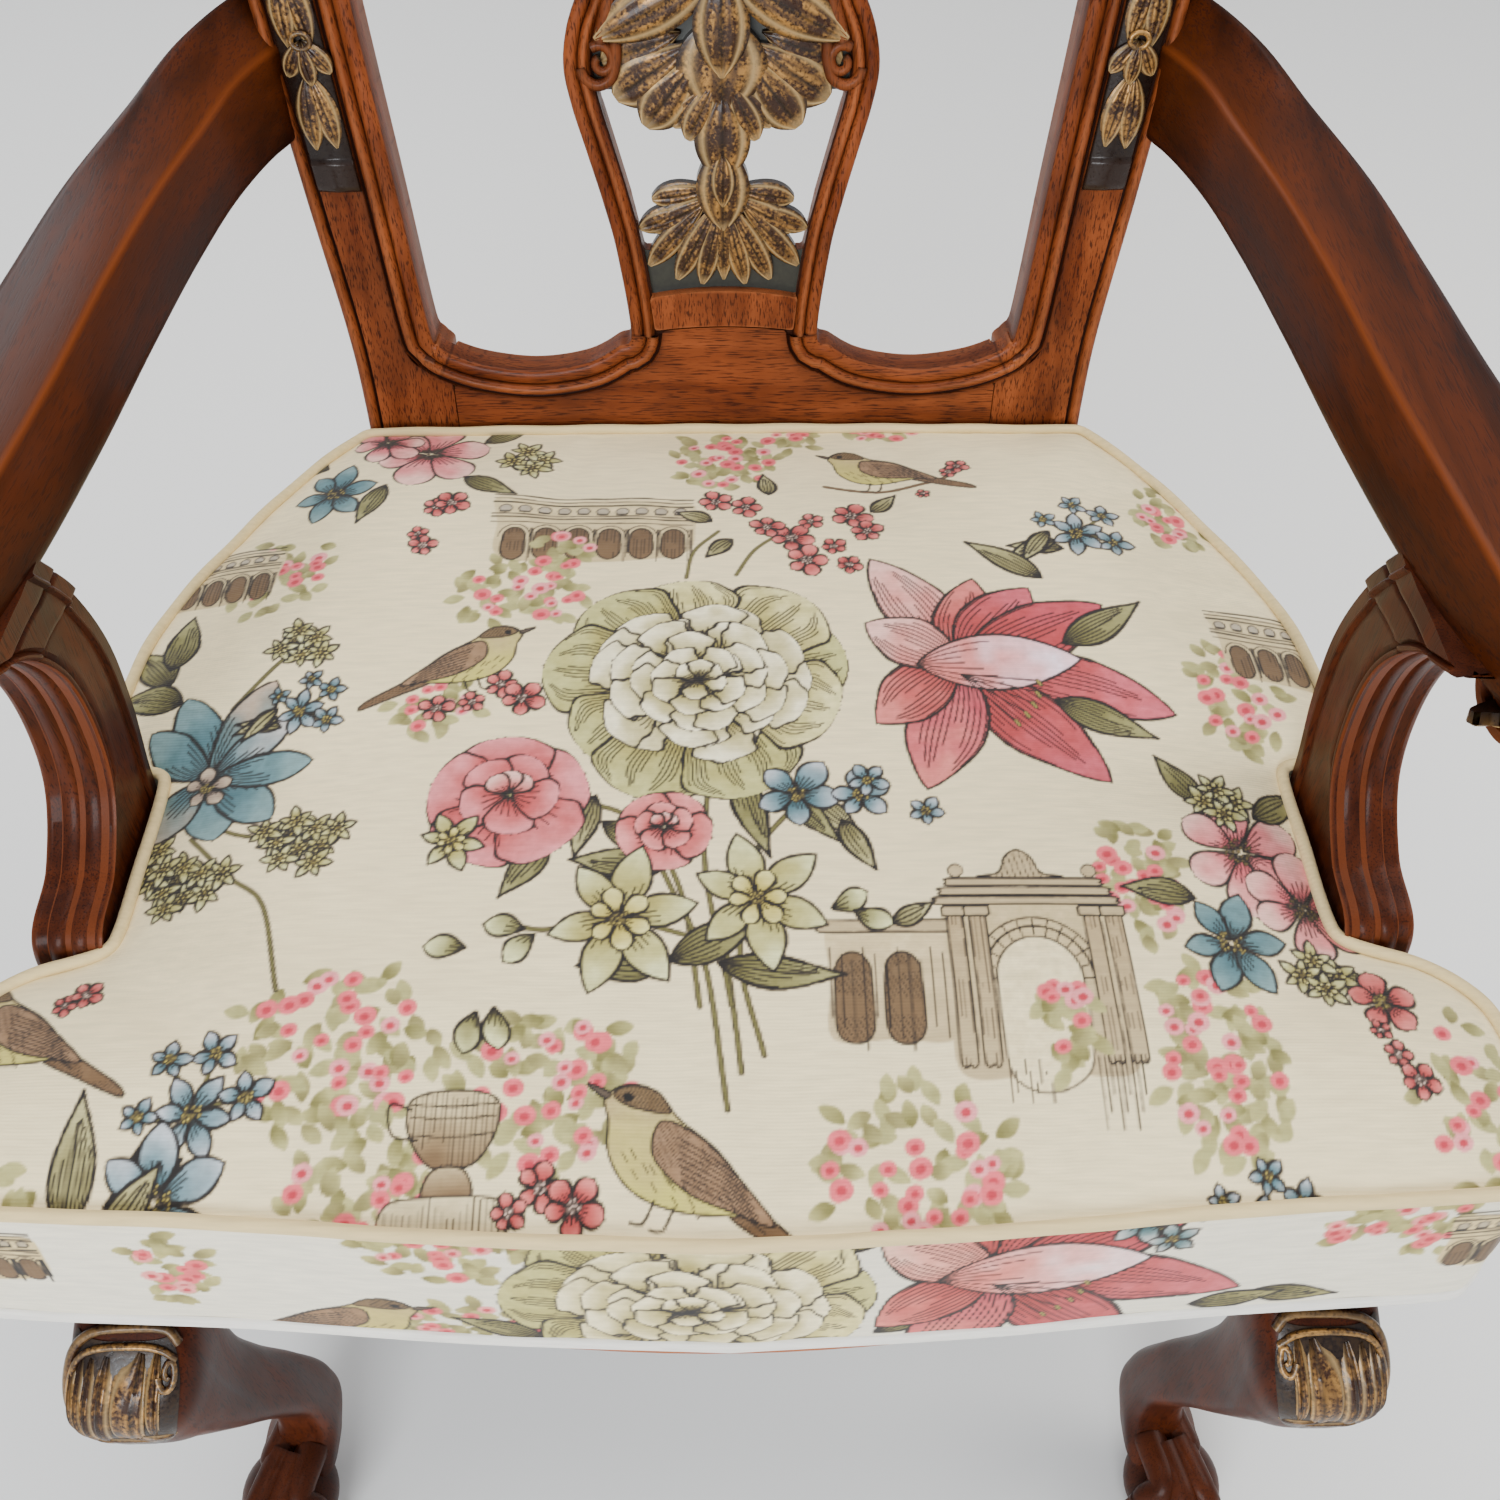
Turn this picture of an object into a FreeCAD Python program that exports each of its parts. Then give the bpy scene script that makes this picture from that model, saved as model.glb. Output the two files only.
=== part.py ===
"""Carved open armchair with shepherd's-crook arms and an upholstered T-shaped seat.

Millimetres. The chair faces -Y, +Z is up, and +X is the sitter's left hand. Each function makes the
left-hand (+X) piece of a pair; the right-hand piece is its mirror image.
"""
import FreeCAD, Part
import math
import os

V = FreeCAD.Vector

# Heights above the floor
RAIL_BOTTOM = 374.0
RAIL_TOP = 440.0
COVER_BOTTOM = 384.0
SEAT_TOP = 500.0

# Depth of the whole chair is centred on the origin by this shift of the drawing
Y_CENTRE = 45.15

# The back leans: its front face is a plane through (y, z) at the seat, turned back by the rake
BACK_FOOT = (268.0, 480.0)
RAKE = math.radians(8.6)
POST_THICK = 32.0
BOARD_THICK = 24.0
CREST_THICK = 30.0
SPLAT_THICK = 20.0

# Front leg: seat block as low x, front y and side, then (height, centre x, centre y, width, depth)
LEG_BLOCK = (250.0, -239.0, 56.0)
LEG_STATIONS = [
    (376, 278, -211, 56, 56), (356, 280, -232, 60, 70), (335, 282, -248, 63, 76), (310, 283, -253, 60, 68),
    (270, 281, -248, 50, 54), (220, 277, -236, 42, 45), (160, 271, -219, 36, 38), (100, 268, -207, 34, 36),
    (70, 270, -209, 38, 40), (46, 278, -222, 48, 50),
]
BALL = (284.0, -248.0, 28.0, 34.0)
LEG_CORNER = 14.0
REAR_LEG_CORNER = 4.0

# Back post outline in the leaning plane: (height v, inner x, outer x)
POST_EDGES = [(-40, 186, 229), (15, 184, 229), (66, 181, 231.5), (153, 188, 241), (254, 196.5, 250.5),
              (350, 203, 257), (450, 207, 262), (478, 208, 264)]
# Rear leg below the seat: (height, inner x, outer x, front y, back y)
REAR_LEG = [(0, 186, 222, 326, 358), (120, 186, 223, 302, 335), (250, 185, 226, 278, 313),
            (360, 185, 229, 262, 300), (446, 185, 229, 262, 294)]

LOWER_RAIL_JOINT_X = 171.0
LOWER_RAIL_FOOT = -34.0
SPLAT_FOOT_V = 62.0
SPLAT_FOOT_X = 57.5
# Dish of the lower rail under one opening, (x, v), and the round corner that meets it on the post
RAIL_DISH = [(171, 50), (150, 42), (118, 38), (86, 43), (66, 54)]
POST_CORNER = [(171, 50), (177, 56), (180.5, 70)]
POST_CORNER_BACK = 200.0
# Splat half-width at height v above the seat
SPLAT_EDGES = [(62, 57.5), (113, 63), (144, 69.5), (173, 77), (198, 83.5), (219, 86.5), (240, 83), (262, 74),
               (295, 65), (325, 62), (360, 67), (405, 82), (440, 93), (462, 98)]

# One pierced eye of the splat, (x, v); the other mirrors it
SPLAT_EYE = [(61, 190), (53, 160), (49, 135), (34, 132), (19, 140), (12, 160), (13, 181), (36, 192)]

# Crest rail outline, right half, (x, v): along the top from the middle, then back along its underside
CREST_TOP = [(0, 540), (60, 532), (130, 508), (200, 516), (252, 532),
             (278, 524), (284, 506), (272, 488), (264, 478)]
CREST_UNDER = [(208, 478), (196, 484), (150, 482), (108, 468), (98, 462)]

# Tenons in the leaning plane: low x, high x, low v, high v, thickness, depth behind the front face
POST_TENON = (218, 252, 474, 500, 12, 10)
RAIL_TENON = (169, 203, -24, 26, 10, 7)
SPLAT_FOOT_TENON = (-38, 38, 46, 64, 8, 8)
SPLAT_TOP_TENON = (-60, 60, 460, 476, 8, 8)

# Husk strip on a post: low v, high v, how proud it stands, margins from the post's two edges
HUSK_STRIP = (150.0, 470.0, 3.0, 18.5, 9.5)
HUSK_STRIP_FOOT = (206.5, 231.5)

# Arm section at each y: (x, z) of the inner bottom, ridge, outer top and outer bottom
ARM_STATIONS = [
    (326, (234, 656), (234, 704), (250, 738), (248, 676)),
    (296, (238, 656), (244, 706), (268, 733), (262, 684)),
    (272, (243, 659), (252, 706), (281, 728), (274, 688)),
    (225, (252, 661), (260, 704), (299, 716), (290, 687)),
    (170, (259, 660), (268, 703), (316, 706), (306, 679)),
    (100, (264, 659), (274, 701), (325, 699), (315, 670)),
    (20, (268, 658), (277, 699), (331, 695), (321, 664)),
    (-50, (274, 657), (282, 697), (340, 692), (332, 660)),
    (-100, (282, 655), (288, 692), (348, 688), (342, 654)),
    (-134, (292, 650), (296, 680), (348, 674), (342, 648)),
]
# Scroll under the arm's front end: y, z, radius, low x and width
ARM_SCROLL = (-120.0, 664.0, 21.0, 293.0, 54.0)

# Arm support outline (y, z): back edge going up, then front edge coming down
SUPPORT_BACK = [(-17, 396), (-17, 480), (-10, 530), (-10, 575), (-24, 622), (-47, 662)]
SUPPORT_FRONT = [(-118, 662), (-84, 640), (-60, 605), (-53, 565), (-60, 525), (-86, 497),
                 (-121, 481), (-121, 396)]
SUPPORT_THICK = 34.0
SUPPORT_X = 288.0
SUPPORT_LEAN = 0.063

# Dowels of one arm: x, y, z of the end, radius, length, direction
ARM_DOWELS = [
    (296, -70, 634, 6, 44, V(0, 0, 1)),
    (226, 312, 691, 4, 25, V(1, 0, 0)),
    (226, 317, 716, 4, 25, V(1, 0, 0)),
]

# Countersunk screws: shank radius, head radius, head depth, bore over the head
SCREW = (2.2, 4.4, 3.0, 4.6)
SUPPORT_SCREWS = (412.0, 54.0, (-38.0, -96.0))

# Seat outline, left half, from the back corner to the centre of the front
SIDE_CURVE = [(228, 261), (251, 231), (273, 193), (290, 157), (306, 120), (317, 83), (321, 48), (322, 6)]
NOTCH = [(322, -12), (284.5, -12), (284.5, -124)]
EAR_CURVE = [(284.5, -124), (308, -131), (334, -142), (346, -162), (349, -198), (341, -232), (318, -241)]
FRONT_CURVE = [(318, -241), (216, -247), (111, -255), (0, -260)]
FRAME_INSET = 2.5
FRAME_BOW = 11.0
SIDE_RAIL_INNER = 254.0
BACK_EDGE = 262.0

# Open middle of the seat frame, left half, (x, y) from the back to the centre of the front
FRAME_HOLLOW = [(0, 236), (192, 236), (222, 160), (246, 80), (254, 0), (254, -183),
                (250, -183), (250, -222), (0, -236)]

# Side rail: pad for the arm support and squared back end (low x, high x, low y, high y), then tenons
SUPPORT_PAD = (SIDE_RAIL_INNER, 300.0, -121.0, -17.0)
SUPPORT_PAD_BOTTOM = 396.0
SIDE_END = (188.0, 222.0, 240.0, BACK_EDGE)
SIDE_FRONT_TENON = (262.0, 276.0, -205.0, -179.0)
SIDE_BACK_TENON = (196.0, 210.0, 250.0, 284.0)
FRONT_TENON = (247.0, 270.0, -236.0, -226.0)
REAR_TENON = (183.0, 205.0, 286.0, 291.0)
REAR_RAIL = (-190.0, 190.0, BACK_EDGE, 292.0)
# How far the tenons stop short of the rail's lower and upper edges
TENON_LOW = 10.0
TENON_HIGH = 10.0
BACK_TENON_HIGH = 12.0

# Corner blocks of the left half, (x, y) plans, their margins from the rail's edges, and their screws
FRONT_BLOCK = [(260, -120), (260, -190), (256, -240), (190, -240), (190, -212), (242, -120)]
REAR_BLOCK = [(120, BACK_EDGE), (120, 250), (196, 168), (222, 168), (200, 240), (188, BACK_EDGE)]
BLOCK_MARGINS = (6.0, 8.0)
BLOCK_SCREW_LENGTH = 34.0
BLOCK_SCREWS = [
    (240, -140, V(1, 0, 0)),
    (205, -202, V(0, -1, 0)),
    (190, 200, V(1, 0, 0)),
    (140, 248, V(0, 1, 0)),
]

# Upholstery
WEBBING = 2.0
WEB_WIDTH = 50.0
WEB_COUNT = 5
CROSS_WEB_FIRST = 176.0
CROSS_WEB_SPACING = 90.0
LONG_WEB_SPACING = 80.0
LONG_WEB_ENDS = (-262.0, 258.0)
WEB_INSET = 8.0
HESSIAN_INSET = 4.0
DUST_COVER_INSET = 9.0
HESSIAN = 1.0
CLOTH = 2.0
CROWN_TOP = 494.0
CROWN_RADIUS = 3600.0
WELT = 3.0
GIMP_HIGH = 8.0
GIMP_THICK = 1.2


def spline(points):
    curve = Part.BSplineCurve()
    curve.interpolate(points)
    return curve.toShape()


def mirrored(shape):
    return shape.mirror(V(0, 0, 0), V(1, 0, 0))


def leaning(x, v, depth=0.0):
    """Point of the back at height v up its front face, depth behind that face."""
    y0, z0 = BACK_FOOT
    return V(
        x,
        y0 + v * math.sin(RAKE) + depth * math.cos(RAKE),
        z0 + v * math.cos(RAKE) - depth * math.sin(RAKE),
    )


def board(edges, thick, front=0.0):
    """Extrudes a closed run of edges, drawn on the leaning front face, backwards by thick."""
    face = Part.Face(Part.Wire(edges))
    step = leaning(0, 0, thick) - leaning(0, 0, 0)
    start = leaning(0, 0, front) - leaning(0, 0, 0)
    face.translate(start)
    return face.extrude(step)


def line(a, b):
    return Part.makeLine(a, b)


# ------------------------------------------------------------------ seat outline

def inset_run(points, inset, closed_before, closed_after):
    """Moves a run of outline points towards the seat's middle by inset, mitred at its own bends."""
    moved = []
    run = [closed_before, *points, closed_after]
    for before, here, after in zip(run, run[1:], run[2:]):
        a = V(here[0] - before[0], here[1] - before[1], 0).normalize()
        b = V(after[0] - here[0], after[1] - here[1], 0).normalize()
        normal_a = V(a.y, -a.x, 0)
        normal_b = V(b.y, -b.x, 0)
        middle = (normal_a + normal_b).normalize()
        reach = inset / max(0.4, middle.dot(normal_a))
        moved.append((here[0] + middle.x * reach, here[1] + middle.y * reach))
    return moved


def half_outline(inset, bow):
    """The left half of the seat outline as named runs, moved in by inset, its front bowed out by bow."""
    front = [(x, y - bow * max(0.0, 1 - (x / 318.0) ** 2)) for x, y in FRONT_CURVE]
    whole = SIDE_CURVE + NOTCH + EAR_CURVE[1:] + front[1:]
    moved = inset_run(whole, inset, (0, 261), (-111, front[2][1]))
    cut_a = len(SIDE_CURVE)
    cut_b = cut_a + len(NOTCH)
    cut_c = cut_b + len(EAR_CURVE) - 1
    return moved[:cut_a], moved[cut_a:cut_b], moved[cut_b - 1:cut_c], moved[cut_c - 1:]


def seat_wire(inset, z, bow):
    """The whole seat outline at height z, as one closed wire starting at the left back corner."""
    side, notch, ear, front = half_outline(inset, bow)

    def left(points):
        return [V(x, y, z) for x, y in points]

    def right(points):
        return [V(-x, y, z) for x, y in points][::-1]

    edges = [spline(left(side)), line(left(side)[-1], left(notch)[0])]
    edges += [line(a, b) for a, b in zip(left(notch), left(notch)[1:])]
    edges += [spline(left(ear)), spline(left(front) + right(front)[1:]), spline(right(ear))]
    edges += [line(a, b) for a, b in zip(right(notch), right(notch)[1:])]
    edges += [line(right(notch)[-1], right(side)[0]), spline(right(side))]
    edges.append(line(right(side)[-1], left(side)[0]))
    return Part.Wire(edges)


def seat_slab(inset, low, high):
    """Solid of the seat outline, its front swelling from the top edge down to the rail."""
    wires = [seat_wire(inset, low, bow_at(low)), seat_wire(inset, high, bow_at(high))]
    return Part.makeLoft(wires, True, True)


def bow_at(z):
    """How far the middle of the front stands out at height z."""
    return FRAME_BOW * (SEAT_TOP - z) / (SEAT_TOP - COVER_BOTTOM)


def crown(drop):
    """Ball whose top is the domed surface of the seat, lowered by drop."""
    return Part.makeSphere(CROWN_RADIUS, V(0, 0, CROWN_TOP - drop - CROWN_RADIUS))


def box(x0, x1, y0, y1, z0, z1):
    x0, x1 = sorted((x0, x1))
    return Part.makeBox(x1 - x0, y1 - y0, z1 - z0, V(x0, y0, z0))


# ------------------------------------------------------------------ legs and posts

def rounded_section(z, cx, cy, width, depth, corner):
    """A horizontal rectangle with round corners, as a closed wire."""
    hw, hd = width / 2, depth / 2
    c = min(corner, hw * 0.9, hd * 0.9)
    k = c * (1 - math.sqrt(0.5))
    edges = []
    corners = [(1, 1), (-1, 1), (-1, -1), (1, -1)]
    for i, (sx, sy) in enumerate(corners):
        upright = sx * sy > 0
        a = V(cx + sx * hw, cy + sy * (hd - c), z)
        b = V(cx + sx * (hw - c), cy + sy * hd, z)
        first, last = (a, b) if upright else (b, a)
        middle = V(cx + sx * (hw - k), cy + sy * (hd - k), z)
        edges.append(Part.Arc(first, middle, last).toShape())
        nx, ny = corners[(i + 1) % 4]
        if upright:
            edges.append(line(last, V(cx + nx * (hw - c), cy + ny * hd, z)))
        else:
            edges.append(line(last, V(cx + nx * hw, cy + ny * (hd - c), z)))
    return Part.Wire(edges)


def front_leg():
    """Cabriole leg: square seat block, knee, ankle and a ball foot with a flat underside."""
    x0, y0, side = LEG_BLOCK
    block = box(x0, x0 + side, y0, y0 + side, RAIL_BOTTOM, RAIL_TOP)
    sections = [rounded_section(z, cx, cy, w, d, LEG_CORNER) for z, cx, cy, w, d in LEG_STATIONS]
    shank = Part.makeLoft(sections, True, False)
    cx, cy, cz, radius = BALL
    ball = Part.makeSphere(radius, V(cx, cy, cz))
    ball = ball.common(box(cx - 50, cx + 50, cy - 50, cy + 50, 0, 100))
    return block.fuse([shank, ball]).removeSplitter()


def back_post():
    """Back post and rear leg, sawn from one piece, with a tenon into the crest rail."""
    inner = [leaning(x, v) for v, x, _ in POST_EDGES]
    outer = [leaning(x, v) for v, _, x in POST_EDGES]
    edges = [spline(inner), line(inner[-1], outer[-1]), spline(outer[::-1]), line(outer[0], inner[0])]
    upper = board(edges, POST_THICK)
    sections = []
    for z, xi, xo, yf, yb in REAR_LEG:
        width, depth = xo - xi, yb - yf
        sections.append(rounded_section(z, (xi + xo) / 2, (yf + yb) / 2, width, depth, REAR_LEG_CORNER))
    leg = Part.makeLoft(sections, True, False)
    return upper.fuse([tenon(POST_TENON), leg, post_corner()]).removeSplitter()


def outline(points):
    """Closed run of straight edges through (x, v) points of the leaning front face."""
    corners = [leaning(x, v) for x, v in points]
    return [line(a, b) for a, b in closed(corners)]


def closed(points):
    return list(zip(points, points[1:] + points[:1]))


def tenon(size):
    """A tenon in the leaning plane from its row of sizes."""
    x0, x1, low, high, thick, depth = size
    return board(outline([(x0, low), (x1, low), (x1, high), (x0, high)]), thick, front=depth)


# ------------------------------------------------------------------ back

def lower_back_rail():
    """Moulded rail between the posts above the seat, dished under each opening."""
    j, low = LOWER_RAIL_JOINT_X, LOWER_RAIL_FOOT
    right_dish = [leaning(x, v) for x, v in RAIL_DISH]
    left_dish = [leaning(-x, v) for x, v in RAIL_DISH][::-1]
    right_foot, left_foot = leaning(SPLAT_FOOT_X, SPLAT_FOOT_V), leaning(-SPLAT_FOOT_X, SPLAT_FOOT_V)
    edges = [
        spline(right_dish), line(right_dish[-1], right_foot),
        line(right_foot, left_foot), line(left_foot, left_dish[0]),
        spline(left_dish), line(left_dish[-1], leaning(-j, low)),
        line(leaning(-j, low), leaning(j, low)), line(leaning(j, low), right_dish[0]),
    ]
    rail = board(edges, BOARD_THICK)
    rail = rail.fuse([tenon(RAIL_TENON), mirrored(tenon(RAIL_TENON))]).removeSplitter()
    return rail.cut(tenon(SPLAT_FOOT_TENON))


def post_corner():
    """The foot of a post that carries the round lower corner of the opening beside it."""
    j, low = LOWER_RAIL_JOINT_X, LOWER_RAIL_FOOT
    x, top = POST_CORNER_BACK, POST_CORNER[-1][1]
    curve = [leaning(px, pv) for px, pv in POST_CORNER]
    rest = [curve[-1], leaning(x, top), leaning(x, low), leaning(j, low), curve[0]]
    edges = [spline(curve)] + [line(a, b) for a, b in zip(rest, rest[1:])]
    return board(edges, BOARD_THICK)


def eye(points):
    """A pierced opening through the splat, as a smooth closed curve through its points."""
    curve = Part.BSplineCurve()
    curve.interpolate([leaning(x, v) for x, v in points], PeriodicFlag=True)
    return board([curve.toShape()], BOARD_THICK + 4, front=-2)


def splat():
    """Vase-shaped splat with a moulded edge and a pierced, carved middle."""
    right = [leaning(w, v) for v, w in SPLAT_EDGES]
    left = [leaning(-w, v) for v, w in SPLAT_EDGES][::-1]
    edges = [spline(right), line(right[-1], left[0]), spline(left), line(left[-1], right[0])]
    body = board(edges, SPLAT_THICK)
    body = body.cut([eye(SPLAT_EYE), mirrored(eye(SPLAT_EYE))])
    return body.fuse([tenon(SPLAT_FOOT_TENON), tenon(SPLAT_TOP_TENON)]).removeSplitter()


def crest_rail():
    """Serpentine top rail that caps both posts and the splat."""
    right_top = [leaning(x, v) for x, v in CREST_TOP]
    left_top = [leaning(-x, v) for x, v in CREST_TOP[1:]][::-1]
    right_under = [leaning(x, v) for x, v in CREST_UNDER]
    left_under = [leaning(-x, v) for x, v in CREST_UNDER][::-1]
    edges = [
        spline(left_top + right_top), line(right_top[-1], right_under[0]), spline(right_under),
        line(right_under[-1], left_under[0]), spline(left_under), line(left_under[-1], left_top[0]),
    ]
    return board(edges, CREST_THICK)


def husk_strip():
    """Applied strip of carved husks in the sunk panel of a back post, with a rounded lower end."""
    low, high, proud, inner_margin, outer_margin = HUSK_STRIP
    inner = [(v, x + inner_margin) for v, x, _ in POST_EDGES if low < v < high]
    outer = [(v, x - outer_margin) for v, _, x in POST_EDGES if low < v < high]
    tip_in, tip_out = POST_EDGES[-1][1:]
    inner = [(low, HUSK_STRIP_FOOT[0])] + inner + [(high, tip_in - 0.5 + inner_margin)]
    outer = [(low, HUSK_STRIP_FOOT[1])] + outer + [(high, tip_out - 0.5 - outer_margin)]
    a = [leaning(x, v) for v, x in inner]
    b = [leaning(x, v) for v, x in outer][::-1]
    edges = [spline(a), line(a[-1], b[0]), spline(b), line(b[-1], a[0])]
    return board(edges, proud, front=-proud)


# ------------------------------------------------------------------ arms

def arm():
    """Open arm, ridged along its top, running forward from the post and ending in a scroll."""
    wires = []
    for y, *corners in ARM_STATIONS:
        points = [V(x, y, z) for x, z in corners]
        wires.append(Part.Wire([line(p, q) for p, q in closed(points)]))
    body = Part.makeLoft(wires, True, True)
    y, z, radius, low_x, width = ARM_SCROLL
    scroll = Part.makeCylinder(radius, width, V(low_x, y, z), V(1, 0, 0))
    return body.fuse(scroll).removeSplitter()


def support_point(y, z):
    """Point of the arm support's inner face, which leans in towards the arm."""
    return V(SUPPORT_X - SUPPORT_LEAN * (z - 480), y, z)


def arm_support():
    """Crook-shaped support sawn from board, its foot screwed to the side rail."""
    back = [support_point(y, z) for y, z in SUPPORT_BACK]
    front = [support_point(y, z) for y, z in SUPPORT_FRONT]
    edges = [line(back[0], back[1]), spline(back[1:]), line(back[-1], front[0]),
             spline(front[:-1]), line(front[-2], front[-1]), line(front[-1], back[0])]
    return Part.Face(Part.Wire(edges)).extrude(V(SUPPORT_THICK, 0, 0))


def arm_dowels():
    """Dowels of one arm: one up from the support, two out from the back post."""
    return [Part.makeCylinder(radius, length, V(x, y, z), axis)
            for x, y, z, radius, length, axis in ARM_DOWELS]


def screw(x, y, z, direction, length):
    """Countersunk wood screw, its head at the point given, driven along direction."""
    shank_radius, head_radius, head_depth, _ = SCREW
    shank = Part.makeCylinder(shank_radius, length, V(x, y, z), direction)
    head = Part.makeCone(head_radius, shank_radius, head_depth, V(x, y, z), direction)
    return shank.fuse(head).removeSplitter()


def support_screws():
    """Two screws of one support, driven outwards through the side rail."""
    z, length, places = SUPPORT_SCREWS
    return [screw(SIDE_RAIL_INNER, y, z, V(1, 0, 0), length) for y in places]


# ------------------------------------------------------------------ seat frame

def flat_prism(points, low, high):
    corners = [V(x, y, low) for x, y in points]
    face = Part.Face(Part.Wire([line(a, b) for a, b in closed(corners)]))
    return face.extrude(V(0, 0, high - low))


def frame_hollow():
    """The open middle of the seat frame."""
    other_half = [(-x, y) for x, y in FRAME_HOLLOW[-2:0:-1]]
    return flat_prism(FRAME_HOLLOW + other_half, RAIL_BOTTOM - 1, RAIL_TOP + 1)


def frame_ring(keep):
    """Part of the seat frame that lies inside keep."""
    return seat_slab(FRAME_INSET, RAIL_BOTTOM, RAIL_TOP).common(keep).cut(frame_hollow())


def side_rail():
    """Side rail from leg block to back post, thickened where the arm support is screwed on."""
    _, y0, side = LEG_BLOCK
    low, high = RAIL_BOTTOM, RAIL_TOP
    end_x, end_back = SIDE_END[0], SIDE_END[3]
    rail = frame_ring(box(0, 400, y0 + side, BACK_EDGE, low, high))
    rail = rail.cut(box(0, end_x, 200, end_back + 8, low, high))
    pad = box(*SUPPORT_PAD, SUPPORT_PAD_BOTTOM, high)
    end = box(*SIDE_END, low, high)
    front_tenon = box(*SIDE_FRONT_TENON, low + TENON_LOW, high - TENON_HIGH)
    back_tenon = box(*SIDE_BACK_TENON, low + TENON_LOW, high - BACK_TENON_HIGH)
    return rail.fuse([pad, end, front_tenon, back_tenon]).removeSplitter()


def ear_block():
    """Block that fills out the seat frame's front corner beyond the leg."""
    x0, y0, side = LEG_BLOCK
    return frame_ring(box(x0 + side, 400, -300, y0 + side, RAIL_BOTTOM, RAIL_TOP))


def front_rail():
    x0, y0, side = LEG_BLOCK
    rail = frame_ring(box(-x0, x0, -300, -200, RAIL_BOTTOM, RAIL_TOP))
    end = box(*FRONT_TENON, RAIL_BOTTOM + TENON_LOW, RAIL_TOP - TENON_HIGH)
    return rail.fuse([end, mirrored(end)]).removeSplitter()


def rear_rail():
    """Rail between the back posts, under the seat's back edge, before it is cut to the posts."""
    return box(*REAR_RAIL, RAIL_BOTTOM, RAIL_TOP)


def rear_rail_tenon():
    return box(*REAR_TENON, RAIL_BOTTOM + TENON_LOW, RAIL_TOP - BACK_TENON_HIGH)


def corner_blocks():
    """Glue blocks across the inside corners of the left half of the seat frame."""
    low, high = RAIL_BOTTOM + BLOCK_MARGINS[0], RAIL_TOP - BLOCK_MARGINS[1]
    return [flat_prism(plan, low, high) for plan in (FRONT_BLOCK, REAR_BLOCK)]


def corner_screws():
    """Screws that hold the left corner blocks to the rails."""
    z = (RAIL_BOTTOM + RAIL_TOP) / 2
    return [screw(x, y, z, axis, BLOCK_SCREW_LENGTH) for x, y, axis in BLOCK_SCREWS]


def screw_bore(piece):
    """Counterbore from the face of a block down to the head of a screw."""
    b = piece.BoundBox
    radius, reach = SCREW[3], 60
    along_x = b.XLength > b.YLength
    if along_x:
        return Part.makeCylinder(radius, reach, V(b.XMin, b.Center.y, b.Center.z), V(-1, 0, 0))
    forward = b.Center.y < 0
    start = b.YMax if forward else b.YMin
    return Part.makeCylinder(radius, reach, V(b.Center.x, start, b.Center.z), V(0, 1 if forward else -1, 0))


# ------------------------------------------------------------------ upholstery

def webbing_bands(low, across):
    """Parallel bands of webbing tacked over the frame."""
    bands = []
    for i in range(WEB_COUNT):
        if across:
            y = CROSS_WEB_FIRST - i * CROSS_WEB_SPACING
            bands.append(box(-340, 340, y, y + WEB_WIDTH, low, low + WEBBING))
        else:
            x = (i - WEB_COUNT // 2) * LONG_WEB_SPACING - WEB_WIDTH / 2
            bands.append(box(x, x + WEB_WIDTH, *LONG_WEB_ENDS, low, low + WEBBING))
    return bands


def in_bounds(pieces, inset):
    """Clips thin layers to the seat outline."""
    low = min(p.BoundBox.ZMin for p in pieces)
    high = max(p.BoundBox.ZMax for p in pieces)
    region = seat_slab(inset, low, high)
    return [p.common(region) for p in pieces]


def seat_body(inset, drop, low):
    """Domed seat solid inside the outline, from low up to the crown."""
    return seat_slab(inset, low, SEAT_TOP).common(crown(drop))


def welt():
    """Piping sewn round the top edge of the seat."""
    band = seat_slab(-WELT, 440, SEAT_TOP).common(crown(-1.5)).cut(crown(4.5))
    return band.cut(seat_slab(0, 430, SEAT_TOP + 10))


def gimp():
    """Band glued over the tacked lower edge of the cover."""
    high = COVER_BOTTOM + GIMP_HIGH
    return seat_slab(-GIMP_THICK, COVER_BOTTOM, high).cut(seat_slab(0, COVER_BOTTOM - 1, high + 1))


# ------------------------------------------------------------------ assembly

def save(shape, name):
    """Writes one node, moved so that the chair's depth is centred on the origin."""
    out = shape.copy()
    out.translate(V(0, -Y_CENTRE, 0))
    solids = [s for s in out.Solids if s.Volume > 1]
    bad = [i for i, s in enumerate(solids) if not s.isValid()]
    b = out.BoundBox
    note = " BAD" if bad or not solids else ""
    print(f"{name:26s} {len(solids):2d} x {b.XMin:.1f}..{b.XMax:.1f} y {b.YMin:.1f}..{b.YMax:.1f} "
          f"z {b.ZMin:.1f}..{b.ZMax:.1f} vol {out.Volume / 1000:.1f} cm3{note}")
    whole = solids[0] if len(solids) == 1 else Part.makeCompound(solids)
    whole.exportStep(f"parts/{name}.step")


def save_pair(shape, name):
    save(shape, "left_" + name)
    save(mirrored(shape), "right_" + name)


def largest(shape):
    return max(shape.Solids, key=lambda solid: solid.Volume)


def both(shapes):
    return list(shapes) + [mirrored(s) for s in shapes]


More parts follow.
